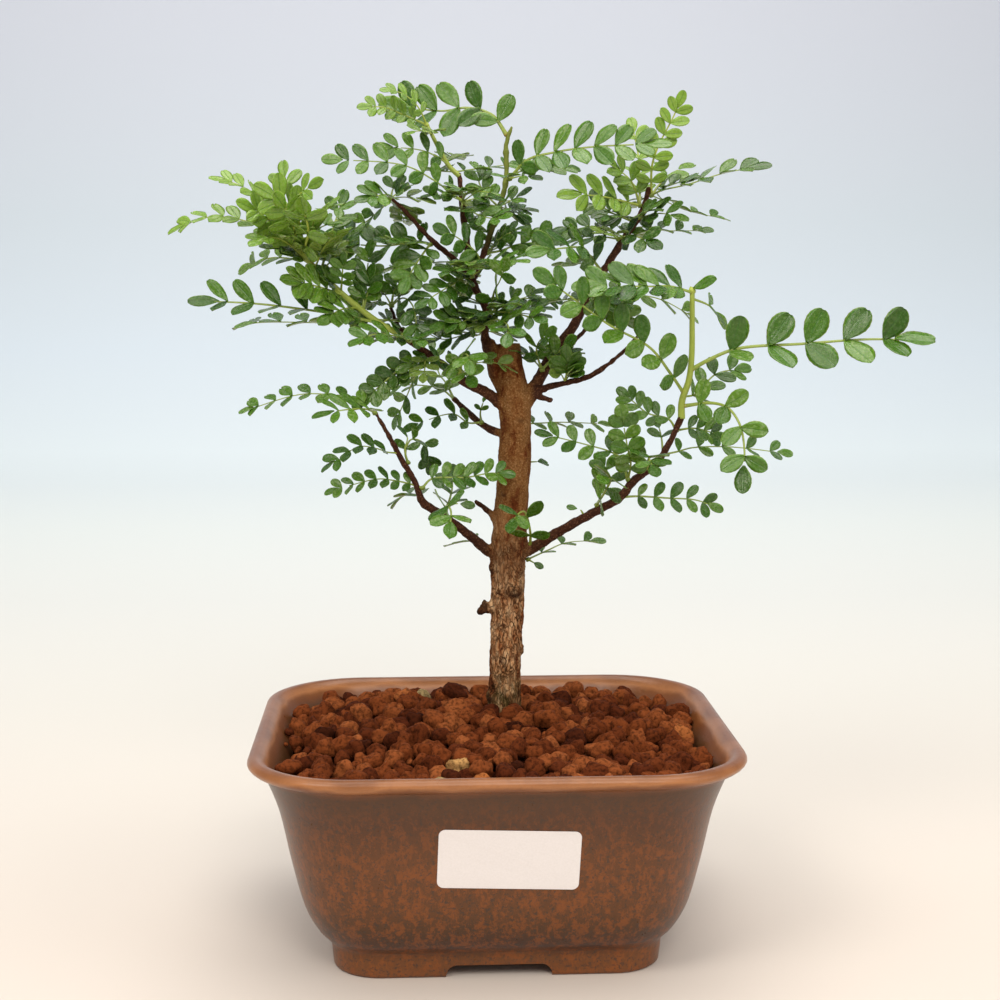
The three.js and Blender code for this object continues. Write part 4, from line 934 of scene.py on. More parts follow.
# %% [markdown]
# ## The leaves
# Each leaf is compound: a thin rib with narrow wings, pairs of leaflets and one at its end.
# A leaflet is a small leathery blade, narrow at its base, widest beyond the middle, with a
# notched tip and a finely scalloped margin. One blade is drawn as a grid of points, closed
# round its rim, and every leaflet is a copy that is scaled, bent and turned.

# %% Leaves of the tree
# "on" and "at" say where a tuft springs from, and each leaf is [rib, lean, pairs, leaflet length,
# facing, width]: the rib as seen, how far its tip lies behind its base, the pairs, the degrees by
# which it is turned towards the viewer, and the leaflet's width as a share of its length.
SHOOTS = {
  "left_shoot": {
    "stem": [[-29, 191.3, -9], [-39, 196.9, -10], [-49.7, 205.2, -12], [-62.3, 217.3, -14],
      [-67.5, 222.8, -15]],
    "radii": [1.1, 0.8],
    "leaves": [
    [[[-67.5, 222.8], [-73.5, 233.5], [-84, 241.5], [-93, 244]], -6, 5, 5.4, 24],
    [[[-66.2, 221.5], [-77, 228.2], [-93, 231.5], [-107, 227]], -2, 5, 6, 30],
    [[[-64.5, 219.6], [-70, 231], [-66, 237.5], [-58, 243]], -18, 3, 5.5, 60],
    [[[-65.2, 220.4], [-68, 235], [-70, 248.6]], 12, 2, 6, 80],
    [[[-59.5, 214.8], [-56, 222.6], [-49.5, 227]], -14, 3, 6, 15],
    [[[-58, 213.4], [-54, 227], [-50, 239]], 14, 3, 6, 60],
    [[[-60.8, 216], [-60, 230], [-52, 236]], -22, 3, 6, 30],
    [[[-62.3, 217.3], [-75, 218], [-84.5, 214]], 13, 3, 6, 40],
    [[[-63.3, 218.4], [-72, 224.5], [-80.5, 222.5]], -18, 2, 6, 20],
    [[[-39, 196.9], [-55, 200], [-80, 203.2], [-100, 204]], -12, 6, 10, 42, 0.45],
    [[[-41, 198], [-55, 197], [-78, 197], [-86, 195.6]], 18, 4, 7, 10],
    [[[-44.6, 201], [-43.6, 208], [-41.5, 223]], 3, 3, 5.5, 70],
    [[[-51.5, 206.7], [-51, 212], [-50.5, 219]], -10, 2, 4.5, 70],
    [[[-65.8, 221], [-67, 229], [-72, 238]], -24, 3, 7, 75],
    [[[-64, 219], [-62, 227], [-64, 236]], -30, 2, 7.4, 80],
    [[[-66, 222], [-74, 230], [-84, 236]], -14, 4, 6.5, 65],
    [[[-63, 219], [-66, 232], [-78, 241]], -18, 3, 7.5, 75],
    [[[-51, 206.3], [-60, 209], [-70, 211]], -14, 4, 7, 60],
    [[[-46, 202], [-52, 201], [-58, 197]], -16, 3, 6.5, 60],]},
  "tuft_d_twig": {"on": "twig_d", "at": [-35.2, 202], "leaves": [
    [[[-31, 205], [-27.8, 202.3], [-26, 189.5]], -16, 3, 5.5, 60],
    [[[-34, 207], [-32, 210], [-25, 213.5]], 5, 3, 6, 40],]},
  "tuft_d_middle": {"on": "branch_d", "at": [-23, 187], "leaves": [
    [[[-30.3, 183], [-37, 177.8], [-45, 170.5]], -8, 4, 5, 75, 0.75],
    [[[-26.5, 181], [-30.5, 171.6], [-34.6, 162.5]], 14, 3, 5.5, 40],]},
  "tuft_d_front": {"on": "branch_d", "at": [-13, 179.5], "leaves": [
    [[[-11.5, 186], [-9.7, 186], [-9, 181]], -24, 2, 6, 75],
    [[[-14, 184], [-11, 180.5], [-8, 177]], -22, 2, 6, 70],]},
  "tuft_d_tip": {"on": "branch_d", "at": [-28.6, 191], "leaves": [
    [[[-35, 192.8], [-41, 193], [-48, 189.7]], -20, 3, 6, 45],]},
  "tuft_a_low": {"on": "leader", "at": [-3.8, 200], "leaves": [
    [[[1, 200.5], [8, 199.5], [15.5, 197.5]], -22, 3, 5.5, 70],
    [[[0, 198], [3.5, 196], [3, 190]], -32, 2, 6.5, 65],
    [[[-1, 207], [1, 211], [3, 217]], -28, 2, 6, 70],
    [[[3, 203.5], [12, 205], [21, 204]], 20, 3, 5, 50],]},
  "tuft_a_left": {"on": "leader", "at": [-3.9, 194.5], "leaves": [
    [[[-9, 197.5], [-14, 198], [-21, 195]], -16, 3, 6, 60],
    [[[-8, 194], [-18, 191.5], [-27, 196]], 12, 4, 5.6, 45],]},
  "tuft_a_middle": {"on": "leader", "at": [-8.2, 212], "leaves": [
    [[[-12, 211], [-18, 207.5], [-26, 202.5]], -22, 4, 5.5, 60],
    [[[-14.2, 216.5], [-26, 216], [-38.6, 213.4]], 16, 4, 6, 20],
    [[[-3, 215.5], [3, 217], [9.5, 217]], -18, 3, 6, 35],
    [[[-6, 218], [-12, 224], [-20, 228]], -14, 3, 6, 60],]},
  "crown_shoot": {
    "stem": [[-12.3, 244.5, 4], [-15.5, 247.5, 4], [-18.8, 253, 4], [-22.9, 261, 5]],
    "radii": [0.9, 0.6],
    "leaves": [
    [[[-22.9, 261], [-31, 264.4], [-36.7, 266.5], [-44.6, 266.7]], -8, 4, 4.5, 60],
    [[[-22.9, 261], [-26, 267], [-31, 271], [-37.2, 272.3]], -10, 3, 4, 40],
    [[[-21.5, 258], [-25, 259], [-29, 258.4]], -10, 1, 4, 40],
    [[[-15.5, 247.5], [-18.4, 250], [-24.6, 252.8], [-39, 254]], -8, 3, 5.5, 60],
    [[[-14, 246], [-6, 247], [7, 248.7]], 22, 3, 5, 40],]},
  "tuft_a_upper": {"on": "leader", "at": [-11.8, 236], "leaves": [
    [[[-15.5, 239.5], [-21, 243.4], [-30.4, 248], [-56, 250]], -18, 5, 6, 60],
    [[[-6, 239.5], [0, 238.6]], -16, 1, 5, 30],
    [[[-8, 233], [-2, 231], [4, 232]], -12, 2, 5.4, 40],]},
  "tuft_c_tip": {"on": "twig_c", "at": [-34.2, 237.3], "leaves": [
    [[[-37, 238.6], [-45.5, 236.5]], -11, 2, 6, 55],
    [[[-38, 234], [-46, 228], [-56, 226]], 8, 4, 5.6, 35],
    [[[-34, 240.5], [-30.5, 244]], 6, 1, 4.6, 60],]},
  "tuft_c_middle": {"on": "twig_c", "at": [-21, 223.6], "leaves": [
    [[[-26, 223.4], [-37, 222], [-53, 223]], 14, 4, 7.5, 60],
    [[[-24, 220], [-28, 214], [-31, 208]], -16, 3, 6.2, 60],]},
  "tuft_b_top": {"on": "stem_b", "at": [3, 257.5], "leaves": [
    [[[-1.7, 264.1], [-9.6, 266.4], [-18, 265.4], [-36.7, 267.8]], 3, 5, 10.5, 60],]},
  "tuft_b_upper": {"on": "stem_b", "at": [3, 243.8], "leaves": [
    [[[9.8, 249.7], [18.8, 252.2], [30.8, 253.9], [55, 255]], -16, 5, 8.5, 55],
    [[[8, 244.5], [13.8, 243.8]], -8, 1, 5, 50],]},
  "tuft_b_low": {"on": "stem_b", "at": [1, 235], "leaves": [
    [[[-3, 233], [-10, 233.5]], 12, 1, 5.5, 50],
    [[[3, 236.5], [8, 236.5]], -10, 1, 5, 60],
    [[[4, 232.5], [10.5, 230.5]], 12, 2, 5, 50],
    [[[-3, 238], [-6, 243], [-4, 247]], 10, 2, 5.4, 55],]},
  "tuft_b_base": {"on": "stem_b", "at": [-4, 220.5], "leaves": [
    [[[1, 220.4], [6.5, 222.4], [13.4, 223.5], [21, 228]], 8, 4, 7, 50],
    [[[-3, 226], [-9, 231]], 14, 2, 5, 60],]},
  "tuft_h_low": {"on": "branch_h", "at": [15.2, 181], "leaves": [
    [[[13, 187], [14, 191], [19, 194.5]], -16, 2, 5.5, 60],
    [[[21, 188], [25, 191.5]], -10, 1, 6, 60],]},
  "tuft_i": {"on": "twig_i", "at": [22.5, 177], "leaves": [
    [[[23, 180.5], [22.9, 184], [22.7, 188.5]], -6, 2, 6, 75],]},
  "tuft_h_behind": {"on": "branch_h", "at": [29.4, 204.5], "leaves": [
    [[[36, 206], [52.4, 205], [66, 198]], 34, 4, 6, 50],
    [[[31, 204.5], [38, 201], [46, 196]], -12, 3, 6.5, 60],]},
  "tuft_h_upper": {"on": "branch_h", "at": [34.8, 213.5], "leaves": [
    [[[28, 221], [21.8, 221.3], [11, 219.5]], -22, 3, 8, 55],]},
  "tuft_h_high": {"on": "branch_h", "at": [40.8, 223], "leaves": [
    [[[44, 225.5], [47, 224.5], [53, 222]], -18, 2, 6.5, 65],
    [[[46, 228], [55, 227], [70, 227]], 12, 4, 5, 25],
    [[[36, 228], [29, 228], [20, 225.5]], 12, 3, 6.5, 45],]},
  "tuft_h_seven": {"on": "branch_h", "at": [44.8, 229.5], "leaves": [
    [[[50, 232], [54, 232.5], [61.5, 231]], -16, 2, 6, 60],
    [[[38, 232.5], [33, 235], [27, 234]], 4, 2, 6, 50],]},
  "tuft_h_tip_left": {"on": "branch_h", "at": [47.8, 234.5], "leaves": [
    [[[41, 236.5], [36.5, 237.6], [31.5, 238.3], [21.2, 238.6]], -14, 3, 7.4, 60],
    [[[44, 242.5], [40.5, 246], [36, 250]], -3, 2, 6, 55],
    [[[46.5, 243], [46.2, 250], [43.5, 262.5]], 22, 3, 6, 70],]},
  "tuft_h_tip_right": {"on": "branch_h", "at": [49.2, 238.5], "leaves": [
    [[[50.5, 247.7], [52.3, 253.7], [57.5, 264], [60.3, 270.8]], -8, 5, 5.5, 80],
    [[[54, 240], [62, 241.8], [74, 245.5], [88, 248]], -14, 4, 7.4, 25],
    [[[54, 243], [57, 245.5], [63.5, 248.5]], 14, 1, 6.5, 45],
    [[[56, 236], [62, 233.5], [75.5, 230.5]], 18, 3, 5, 25],]},
  "tuft_g_base": {"on": "trunk", "at": [3.7, 118], "leaves": [
    [[[17, 121], [23, 123.5], [35.5, 124.3]], 12, 2, 5, 20],
    [[[12.5, 116.6], [14.8, 115.5]], -3, 0, 3.4, 60],]},
  "tuft_g_sprout": {"on": "branch_g", "at": [29, 132], "leaves": [
    [[[27.8, 134.6], [23.8, 135.4]], 0, 0, 3.2, 60],]},
  "tuft_g_one": {"on": "branch_g", "at": [34, 135], "leaves": [
    [[[35.5, 140], [38, 145], [34, 144]], -24, 2, 7, 60],
    [[[37, 143], [36.5, 148], [33, 153]], 12, 2, 6, 50],]},
  "tuft_g_two": {"on": "branch_g", "at": [42, 139.5], "leaves": [
    [[[47, 139.2], [57, 138.6], [67, 137.8], [74.5, 134.6]], -8, 4, 5, 60],]},
  "tuft_g_three": {"on": "branch_g", "at": [45, 144], "leaves": [
    [[[44.5, 150], [43.3, 156], [41, 168.8]], -12, 4, 5.5, 80, 0.75],
    [[[41, 152], [37.5, 154.2], [29, 156.7], [13.5, 160.5]], 2, 4, 5.5, 60],]},
  "tuft_g_four": {"on": "branch_g", "at": [50, 147.8], "leaves": [
    [[[50.5, 152], [51, 151], [53, 146.5]], -22, 2, 6.5, 70],]},
  "tuft_g_five": {"on": "branch_g", "at": [55, 152.8], "leaves": [
    [[[60, 154.2], [65, 155.5], [77, 155.8], [97.5, 153.5]], 16, 4, 5, 45],
    [[[54.6, 159], [53, 165]], 14, 1, 5, 60],]},
  "tuft_g_six": {"on": "branch_g", "at": [59.4, 161], "leaves": [
    [[[57, 165], [50, 167], [45, 171], [40.5, 174.8]], 8, 4, 5, 60],
    [[[65, 162], [70, 161], [75.5, 158.6]], 2, 3, 4.8, 60],]},
  "right_shoot": {
    "stem": [[61.2, 165.2, -14], [61.3, 171, -14], [63.5, 178, -15], [64.3, 186, -15], [64.3, 198, -15],
      [64.2, 207.5, -15]],
    "radii": [1.2, 0.8],
    "leaves": [
    [[[61.7, 172.5], [66, 173.5], [72.5, 180], [83, 182]], 16, 3, 6, 60],
    [[[64, 181.3], [70, 184.7], [79, 188.3], [101, 190], [124, 191.5], [141.5, 190.8]],
        -10, 5, 12, 60, 0.67],
    [[[61.5, 169.5], [71, 170.4], [76.5, 168.8], [80.5, 163.5], [82.3, 155], [82, 142]],
        -24, 4, 9, 70, 0.62],
    [[[61.9, 173.5], [57.5, 180], [50.5, 188.7], [36.8, 196.3], [24.9, 204.9], [13.3, 213.2]],
        -20, 7, 9, 60, 0.6],
    [[[64.2, 206.5], [57, 208.8], [50.5, 208.8], [26.5, 209]], -10, 7, 10, 38],
    [[[64.2, 205], [69, 203], [71.5, 201], [75.3, 195.5]], 10, 1, 7.5, 50, 0.4],
    [[[64.2, 207.2], [69.5, 210.4]], -3, 0, 7.4, 30],]},
  "tuft_junction": {"on": "branch_g", "at": [11.5, 121.6], "leaves": [
    [[[11, 127.5], [9, 134], [6, 132], [5, 127.5]], -24, 2, 6.5, 70],]},
  "tuft_trunk_small": {"on": "trunk", "at": [5.6, 150.5], "leaves": [
    [[[13, 150.8], [15.8, 150.2]], 8, 0, 5, 60],]},
  "tuft_trunk_behind": {"on": "trunk", "at": [6, 163.5], "leaves": [
    [[[14, 163.7], [22, 164], [37, 163.4]], 28, 3, 5, 40],]},
  "tuft_f_middle": {"on": "twig_f", "at": [-5, 163.3], "leaves": [
    [[[-9.5, 163.8], [-14, 166.6], [-18, 166.4], [-30.5, 161.8]], -8, 3, 5, 45],
    [[[-5.6, 167.5], [-4, 172.5]], 6, 1, 2.6, 60],]},
  "tuft_f_tip": {"on": "twig_f", "at": [-14, 171.5], "leaves": [
    [[[-19, 175.2], [-28, 176.4], [-36.5, 175.8]], 18, 3, 5, 50],
    [[[-17, 177], [-19.4, 180.5], [-22, 191]], 28, 2, 5, 50],]},
  "tuft_e_one": {"on": "branch_e", "at": [-18.6, 133.2], "leaves": [
    [[[-17, 136], [-15.5, 134], [-16, 126]], -32, 2, 7, 75],
    [[[-14.5, 136.6], [-8.5, 136]], -4, 0, 4.4, 60],
    [[[-16, 138], [-15, 143], [-15.5, 149]], 22, 2, 6.5, 60],]},
  "tuft_e_two": {"on": "branch_e", "at": [-23.5, 136.4], "leaves": [
    [[[-26.5, 139.6], [-31, 139.4], [-35, 135.8]], 16, 2, 4.5, 20],]},
  "tuft_e_three": {"on": "branch_e", "at": [-26.4, 141.4], "leaves": [
    [[[-30, 143.6], [-35, 144.6], [-40, 145], [-57, 140.6]], -6, 5, 4.4, 45, 0.6],
    [[[-22, 145], [-10, 145.6], [-2, 147], [5, 146.2]], 3, 5, 5, 55],]},
  "tuft_e_four": {"on": "branch_e", "at": [-30.8, 149.6], "leaves": [
    [[[-30.6, 154], [-28.7, 158.2], [-24.5, 157], [-22.3, 147.3]], 10, 3, 4.8, 55],
    [[[-30.8, 155], [-30, 159], [-34, 159.9]], 2, 0, 4.5, 20],]},
  "tuft_e_five": {"on": "branch_e", "at": [-33.4, 154], "leaves": [
    [[[-36.5, 154], [-40.5, 155.3], [-46, 155.8], [-58, 148.3]], -10, 4, 5, 28],]},
  "tuft_e_tip": {"on": "branch_e", "at": [-40.3, 167], "leaves": [
    [[[-45, 170], [-50, 172], [-64, 173.4], [-85, 167.5]], -4, 5, 4.6, 35, 0.75],
    [[[-44, 168.4], [-50, 168.2], [-60, 166.5]], -20, 3, 7, 45, 0.4],]},
  "tuft_e_low": {"on": "branch_e", "at": [-5, 122.3], "leaves": [
    [[[-9, 124], [-17, 122.6]], 22, 1, 5, 20],]},
}

# Leaves that are just unfolding are lime, and shaded ones are painted dark, by node and number.
# Some tufts are painted pale with the underside colour, as painted backlight.
YOUTH = {"left_shoot": {0: 0.75, 1: 0.7, 2: 0.6, 3: 0.6, 4: 0.35, 6: 0.4, 7: 0.45, 8: 0.5, 13: 0.75,
                        14: 0.7, 15: 0.75, 16: 0.85, 17: 0.25, 18: 0.1},
         "crown_shoot": {0: 0.55, 1: 0.6, 2: 0.5},
         "tuft_h_tip_left": {0: 0.8, 1: 0.6, 2: 0.8}, "tuft_h_tip_right": {0: 0.95, 2: 0.4}}
SHADE = {"tuft_h_high": {0: 0.6}, "tuft_h_tip_right": {1: 0.25}, "tuft_h_seven": {0: 0.4, 1: 0.3},
         "tuft_e_four": {0: 0.5}, "tuft_d_middle": {0: 0.3}}
PALE_BACKLIT = {"tuft_trunk_behind": 0.5, "tuft_h_behind": 0.4, "tuft_f_tip": 0.4}
print("leafy nodes:", len(SHOOTS), "leaves:", sum(len(s["leaves"]) for s in SHOOTS.values()))

# %% One blade
# Rows along the blade are closer together towards its rounded tip, where it turns fastest
BLADE_STEPS = 16
BLADE_COLUMNS = (-1.0, -0.6, 0.0, 0.6, 1.0)
SCALLOP = 0.014
NOTCH = 0.035
WIDEST = 0.58
BASE_WIDTH = 0.06


def blade_row(step):
    """Share of the length at a row, and the half width there as a share of the full width."""
    along = math.sin(0.5 * math.pi * step / BLADE_STEPS) ** 1.25
    widening = BASE_WIDTH + (1 - BASE_WIDTH) * min(1.0, along / WIDEST)
    past = max(0.0, along - WIDEST) / (1.005 - WIDEST)
    round_tip = math.sqrt(max(0.0, 1 - past ** 2.1))
    return along, 0.5 * math.sin(0.5 * math.pi * widening) * round_tip


BLADE_ROWS = [blade_row(step) for step in range(BLADE_STEPS + 1)]


def blade_grid():
    """Points (along, across, up, share of half width) and faces of a closed thin blade."""
    points, top, bottom, faces = [], {}, {}, []
    last = len(BLADE_ROWS) - 1
    for i, (along, half) in enumerate(BLADE_ROWS):
        wavy = half * (1 + SCALLOP * (-1) ** i) if 0 < i < last else half
        for j, v in enumerate(BLADE_COLUMNS):
            notch = NOTCH * (1 - abs(v)) if i == last else 0
            rim = i in (0, last) or abs(v) == 1
            thick = 0.0 if rim else 1 - 0.5 * abs(v)
            top[i, j] = len(points)
            points.append((along - notch, v * wavy, thick, v))
            if rim:
                bottom[i, j] = top[i, j]
            else:
                bottom[i, j] = len(points)
                points.append((along - notch, v * wavy, -thick, v))
    for i in range(last):
        for j in range(len(BLADE_COLUMNS) - 1):
            cell = [(i, j), (i + 1, j), (i + 1, j + 1), (i, j + 1)]
            faces.append([top[c] for c in cell])
            faces.append([bottom[c] for c in reversed(cell)])
    return np.array(points), faces


BLADE, BLADE_FACES = blade_grid()
print("blade:", len(BLADE), "points,", len(BLADE_FACES), "faces")

# %% Bend a blade into place
BLADE_THICKNESS = 0.26
growth = random.Random(23)


def lay_blade(base, along, up, length, width, tint):
    """A leaflet from its base: cupped across, drooping towards its tip, and a little twisted."""
    roll = math.radians(growth.uniform(-22, 22))
    across = np.cross(up, along)
    up, across = (up * math.cos(roll) + across * math.sin(roll),
                  across * math.cos(roll) - up * math.sin(roll))
    u, v, thick, share = BLADE.T
    half = v * width * length
    cup = growth.uniform(0.1, 0.3) * np.abs(share) ** 1.6 * width * length * 0.5
    droop = growth.uniform(0.02, 0.16) * length * u ** 2
    ripple = 0.012 * length * np.sin(9 * u + growth.uniform(0, 6)) * np.abs(share)
    lift = cup - droop + ripple + thick * BLADE_THICKNESS / 2
    points = base + np.outer(u * length, along) + np.outer(half, across) + np.outer(lift, up)
    seed = growth.random()
    surface = np.stack([u, share, np.full_like(u, seed)], axis=-1)
    youth, shade, backlit_pale = tint
    below = (thick < 0).astype(float)
    tints = np.stack([np.full_like(u, youth), np.full_like(u, shade),
                      np.maximum(below, backlit_pale)], axis=-1)
    return points, BLADE_FACES, surface, tints


# %% A whole leaf
LARGE_LEAFLET = 8.8
LEAFLET_WIDTH = 0.58
LEAFLET_SLANT = math.radians(63)
LEAFLET_SWEEP = 14  # the last pair points so many degrees more towards the tip
LEAFLET_FOLD = math.radians(14)
RIB_RADIUS = 0.42
RIB_FLATNESS = 0.55


def grow_leaf(points, pairs, length, facing, width, tint, least_bare=0.0, tip_roll=0, tip_size=1.0,
              extra_fold=0):
    """The rib and the leaflets of one leaf along its path."""
    if length < LARGE_LEAFLET:  # small leaves have more and longer leaflets than the solids show
        pairs, length = round(1.35 * pairs), 1.14 * length
    path = smooth_path(points, 12)
    total = arc_shares(path)[1]
    angle = math.radians(facing)
    face = TURN_MATRIX @ np.array([0, -math.sin(angle), math.cos(angle)])
    bare = max(least_bare, min(0.3, max(0.08, 3.5 / total)))
    end = max(0.1, 1 - 0.8 * length / total)
    shares = [bare + (end - bare) * (pair + 0.25) / (pairs - 0.45) for pair in range(pairs)]
    places, tangents = at_shares(path, shares + [end])
    blades = []
    for index, (place, tangent) in enumerate(zip(places, tangents)):
        normal = square_to(face, tangent)
        side = np.cross(tangent, normal)
        if index == pairs:
            roll = math.radians(tip_roll)
            turned = normal * math.cos(roll) + side * math.sin(roll)
            blades.append(lay_blade(place, tangent, turned, tip_size * length, width, tint))
            break
        swell = 0.86 + 0.2 * math.sin(math.pi * (index + 0.6) / (pairs + 0.4))
        for hand in (1, -1):
            forward = LEAFLET_SWEEP * (index + 0.5) / pairs
            slant = LEAFLET_SLANT + math.radians(growth.uniform(-7, 7) - forward)
            fold = LEAFLET_FOLD + math.radians(growth.uniform(-9, 9) + extra_fold)
            lifted = side * hand * math.cos(fold) + normal * math.sin(fold)
            along = tangent * math.cos(slant) + lifted * math.sin(slant)
            up = np.cross(along, tangent * math.sin(slant) - lifted * math.cos(slant)) * hand
            size = length * swell * growth.uniform(0.93, 1.06)
            blades.append(lay_blade(place, along, unit(up), size, width, tint))
    rib = path[:max(4, int(len(path) * min(1.0, end + 0.04)))]
    taper = np.interp(np.linspace(0, 1, len(rib)), [0, 0.08, 0.3, 1], [0.66, 0.5, RIB_RADIUS, 0.24])
    taper *= min(1.5, max(0.85, length / 7.5))
    order = np.arange(len(rib))
    ahead = unit(rib[np.minimum(order + 1, len(rib) - 1)] - rib[np.maximum(order - 1, 0)])
    sides = square_to(np.cross(ahead, face), ahead)
    return blades, stacked(rings_along(rib, taper, 8, RIB_FLATNESS, sides))


# %% Where the leaves spring from
BUD_RADIUS = 0.95
LIMB_TIP = 0.97  # a bud past this share of a limb sits on its tip


def bud_place(tuft):
    """The middle of a tuft's bud on its limb, and how far back it lies."""
    limb = LIMBS[tuft["on"]]
    flat = smooth_path(limb["points"], 20)
    path = smooth_path(seen(limb["points"]), 20)
    index = int(np.argmin(np.hypot(flat[:, 0] - tuft["at"][0], flat[:, 1] - tuft["at"][1])))
    share = index / (len(flat) - 1)
    radius = float(np.interp(share, np.linspace(0, 1, len(limb["radii"])), limb["radii"]))
    back, axis = flat[index, 2], path[index]
    tangent = unit(path[min(index + 1, len(path) - 1)] - path[max(index - 1, 0)])
    towards = np.zeros(3)
    for rib, lean, *_ in tuft["leaves"]:
        towards += unit(seen([(*rib[0], back + lean / len(rib))])[0] - axis)
    if share <= LIMB_TIP:
        towards -= towards.dot(tangent) * tangent
    offset = radius + 0.5 * BUD_RADIUS
    if len(tuft["leaves"]) == 1:
        offset = 0.6 * radius
    elif share > LIMB_TIP:
        offset = 0.6
    return axis + offset * unit(towards), back


def leaf_path(base, back, rib, lean):
    """The points of a rib, from a base at a known depth, leaning back evenly to its tip."""
    step = lean / len(rib)
    places = [(x, z, back + step * (index + 1)) for index, (x, z) in enumerate(rib)]
    return np.vstack([base, seen(places)])


# %% [markdown]
# Leaves stand all round a twig, and a picture from the front shows the outer ones. The others,
# in the middle of the crown, are grown by a rule: each leaf there has companions from the same
# bud, turned about the upright, smaller, more level and painted darker as shade, some of them
# painted pale as backlit.

# %% Companions in the crown
COMPANIONS = {"tuft_a": 2, "tuft_b": 1, "tuft_c": 2, "tuft_d_middle": 1, "tuft_d": 2,
              "tuft_h_behind": 4, "tuft_h_low": 3, "tuft_h": 1, "tuft_i": 4, "left_shoot": 1,
              "crown_shoot": 1}
ALONE = {"left_shoot": (0, 1, 3, 13, 14, 15, 16, 17, 18), "crown_shoot": (0, 1),
         "tuft_a_middle": (3,), "tuft_b_top": (0,), "tuft_c_middle": (1,), "tuft_d_front": (1,),
         "tuft_h_behind": (1,), "tuft_h_tip_left": (0, 1, 2), "tuft_h_tip_right": (0, 1)}
turning = random.Random(41)
BOX_LOW, BOX_HIGH = [np.array(corner) / MM for corner in solid_bounds]


def companions(node, number, points, length, youth):
    """More leaves from the same base, each as the values that grow_leaf takes."""
    many = next((n for start, n in COMPANIONS.items() if node.startswith(start)), 0)
    if number in ALONE.get(node, ()):
        return []
    more = []
    for _ in range(many):
        turn = math.radians(turning.choice((-1, 1)) * turning.uniform(40, 140))
        cosine, sine = math.cos(turn), math.sin(turn)
        away = points - points[0]
        reach = turning.uniform(18, 30)
        scale = min(turning.uniform(0.7, 0.95), reach / arc_shares(points)[1])
        spin = np.array([[cosine, -sine, 0], [sine, cosine, 0], [0, 0, turning.uniform(0.5, 0.9)]])
        turned = points[0] + scale * away @ spin.T
        small = min(length, turning.uniform(4.6, 6.2))
        pairs = max(1, round(0.62 * arc_shares(turned)[1] / small))
        # Painted light: companions get a random painted shade, and one in five is painted pale as backlit
        tint = (0.5 * youth, turning.uniform(0.0, 0.5), turning.choice((0.0, 0.0, 0.0, 0.0, 0.9)))
        inside = (turned > BOX_LOW + small).all() and (turned < BOX_HIGH - small).all()
        if inside:
            more.append((turned, pairs, small, turning.uniform(15, 40), LEAFLET_WIDTH, tint))
    return more


# %% [markdown]
# ## Leaf and shoot materials
# A pepper leaf has a waxy cuticle, so it is glossy over a soft green, with the midrib as a groove
# and oil glands as paler dots. It is thin enough for a little light to come through, which the
# subsurface share gives. Its colour comes from how young the leaf is, and each leaflet differs a
# little from the next.

# %% Leaf with a waxy cuticle
leaf, leaf_shader = new_material("waxy_leaf", IOR=1.45, Subsurface_Weight=0.35,
                                 Subsurface_Radius=(0.6, 1.0, 0.2), Subsurface_Scale=0.5 * MM)
leaf_place = add_node(leaf, "TexCoord").outputs["Object"]
# "surface" holds the places along and across a leaflet and its own chance value, and "tint" holds
# its youth, its painted shade, and its share of the pale underside colour, which on some leaves is
# painted backlight
surface, tint = [
    add_node(leaf, "SeparateXYZ", {0: add_node(leaf, "Attribute", attribute_name=name).outputs["Vector"]})
    for name in ("surface", "tint")]
mature = add_node(leaf, "ValToRGB", {0: surface.outputs["Z"]}, stops=[
    (0.0, "#2c5113"), (0.5, "#406a19"), (1.0, "#577e23")])
# Real undersides are paler, and whole leaves given a pale share are painted backlight
underside_and_backlight_share = add_node(leaf, "Math", {0: tint.outputs["Z"], 1: 0.6}, operation="MULTIPLY")
# Painted glints: whitish patches 1.1 mm across stand in for glossy highlights, stronger on some
# leaflets. Oil glands are 0.8 mm apart
patches = add_node(leaf, "TexNoise", {"Vector": leaf_place, "Scale": 1 / (1.1 * MM), "Detail": 5.0})
glint_patch_share = add_node(leaf, "ValToRGB", {0: patches}, stops=[(0.52, 0.0), (0.7, 0.6)])
glinting_leaflets = add_node(leaf, "ValToRGB", {0: surface.outputs["Z"]}, stops=[(0.6, 0.2), (0.9, 1.0)])
painted_glint = add_node(leaf, "Math", {0: glint_patch_share, 1: glinting_leaflets}, operation="MULTIPLY")
glands = add_node(leaf, "TexVoronoi", {"Vector": leaf_place, "Scale": 1 / (0.8 * MM)})
gland_share = add_node(leaf, "ValToRGB", {0: glands}, stops=[(0.12, 0.3), (0.24, 0.0)])
across = add_node(leaf, "Math", {0: surface.outputs["Y"]}, operation="ABSOLUTE")
midrib = add_node(leaf, "ValToRGB", {0: across}, stops=[(0.02, 0.55), (0.12, 0.0)])
# A pale margin: partly the leaflet's own pale rim, partly a painted highlight along its edge
margin = add_node(leaf, "ValToRGB", {0: across}, stops=[(0.86, 0.0), (1.0, 0.45)])
leaf_colour = mature
for share, colour in [
        (tint.outputs["X"], "#82a53b"), (tint.outputs["Y"], "#1f3f0e"), (underside_and_backlight_share, "#869a48"),
        (painted_glint, "#9db07c"), (gland_share, "#94b058"), (midrib, "#3a6a22"), (margin, "#93ab5e")]:
    leaf_colour = add_node(leaf, "Mix", {0: share, 6: leaf_colour, 7: colour}, data_type="RGBA")
leaf_rough = add_node(leaf, "MapRange", {0: patches, 1: 0.3, 2: 0.7, 3: 0.14, 4: 0.4})
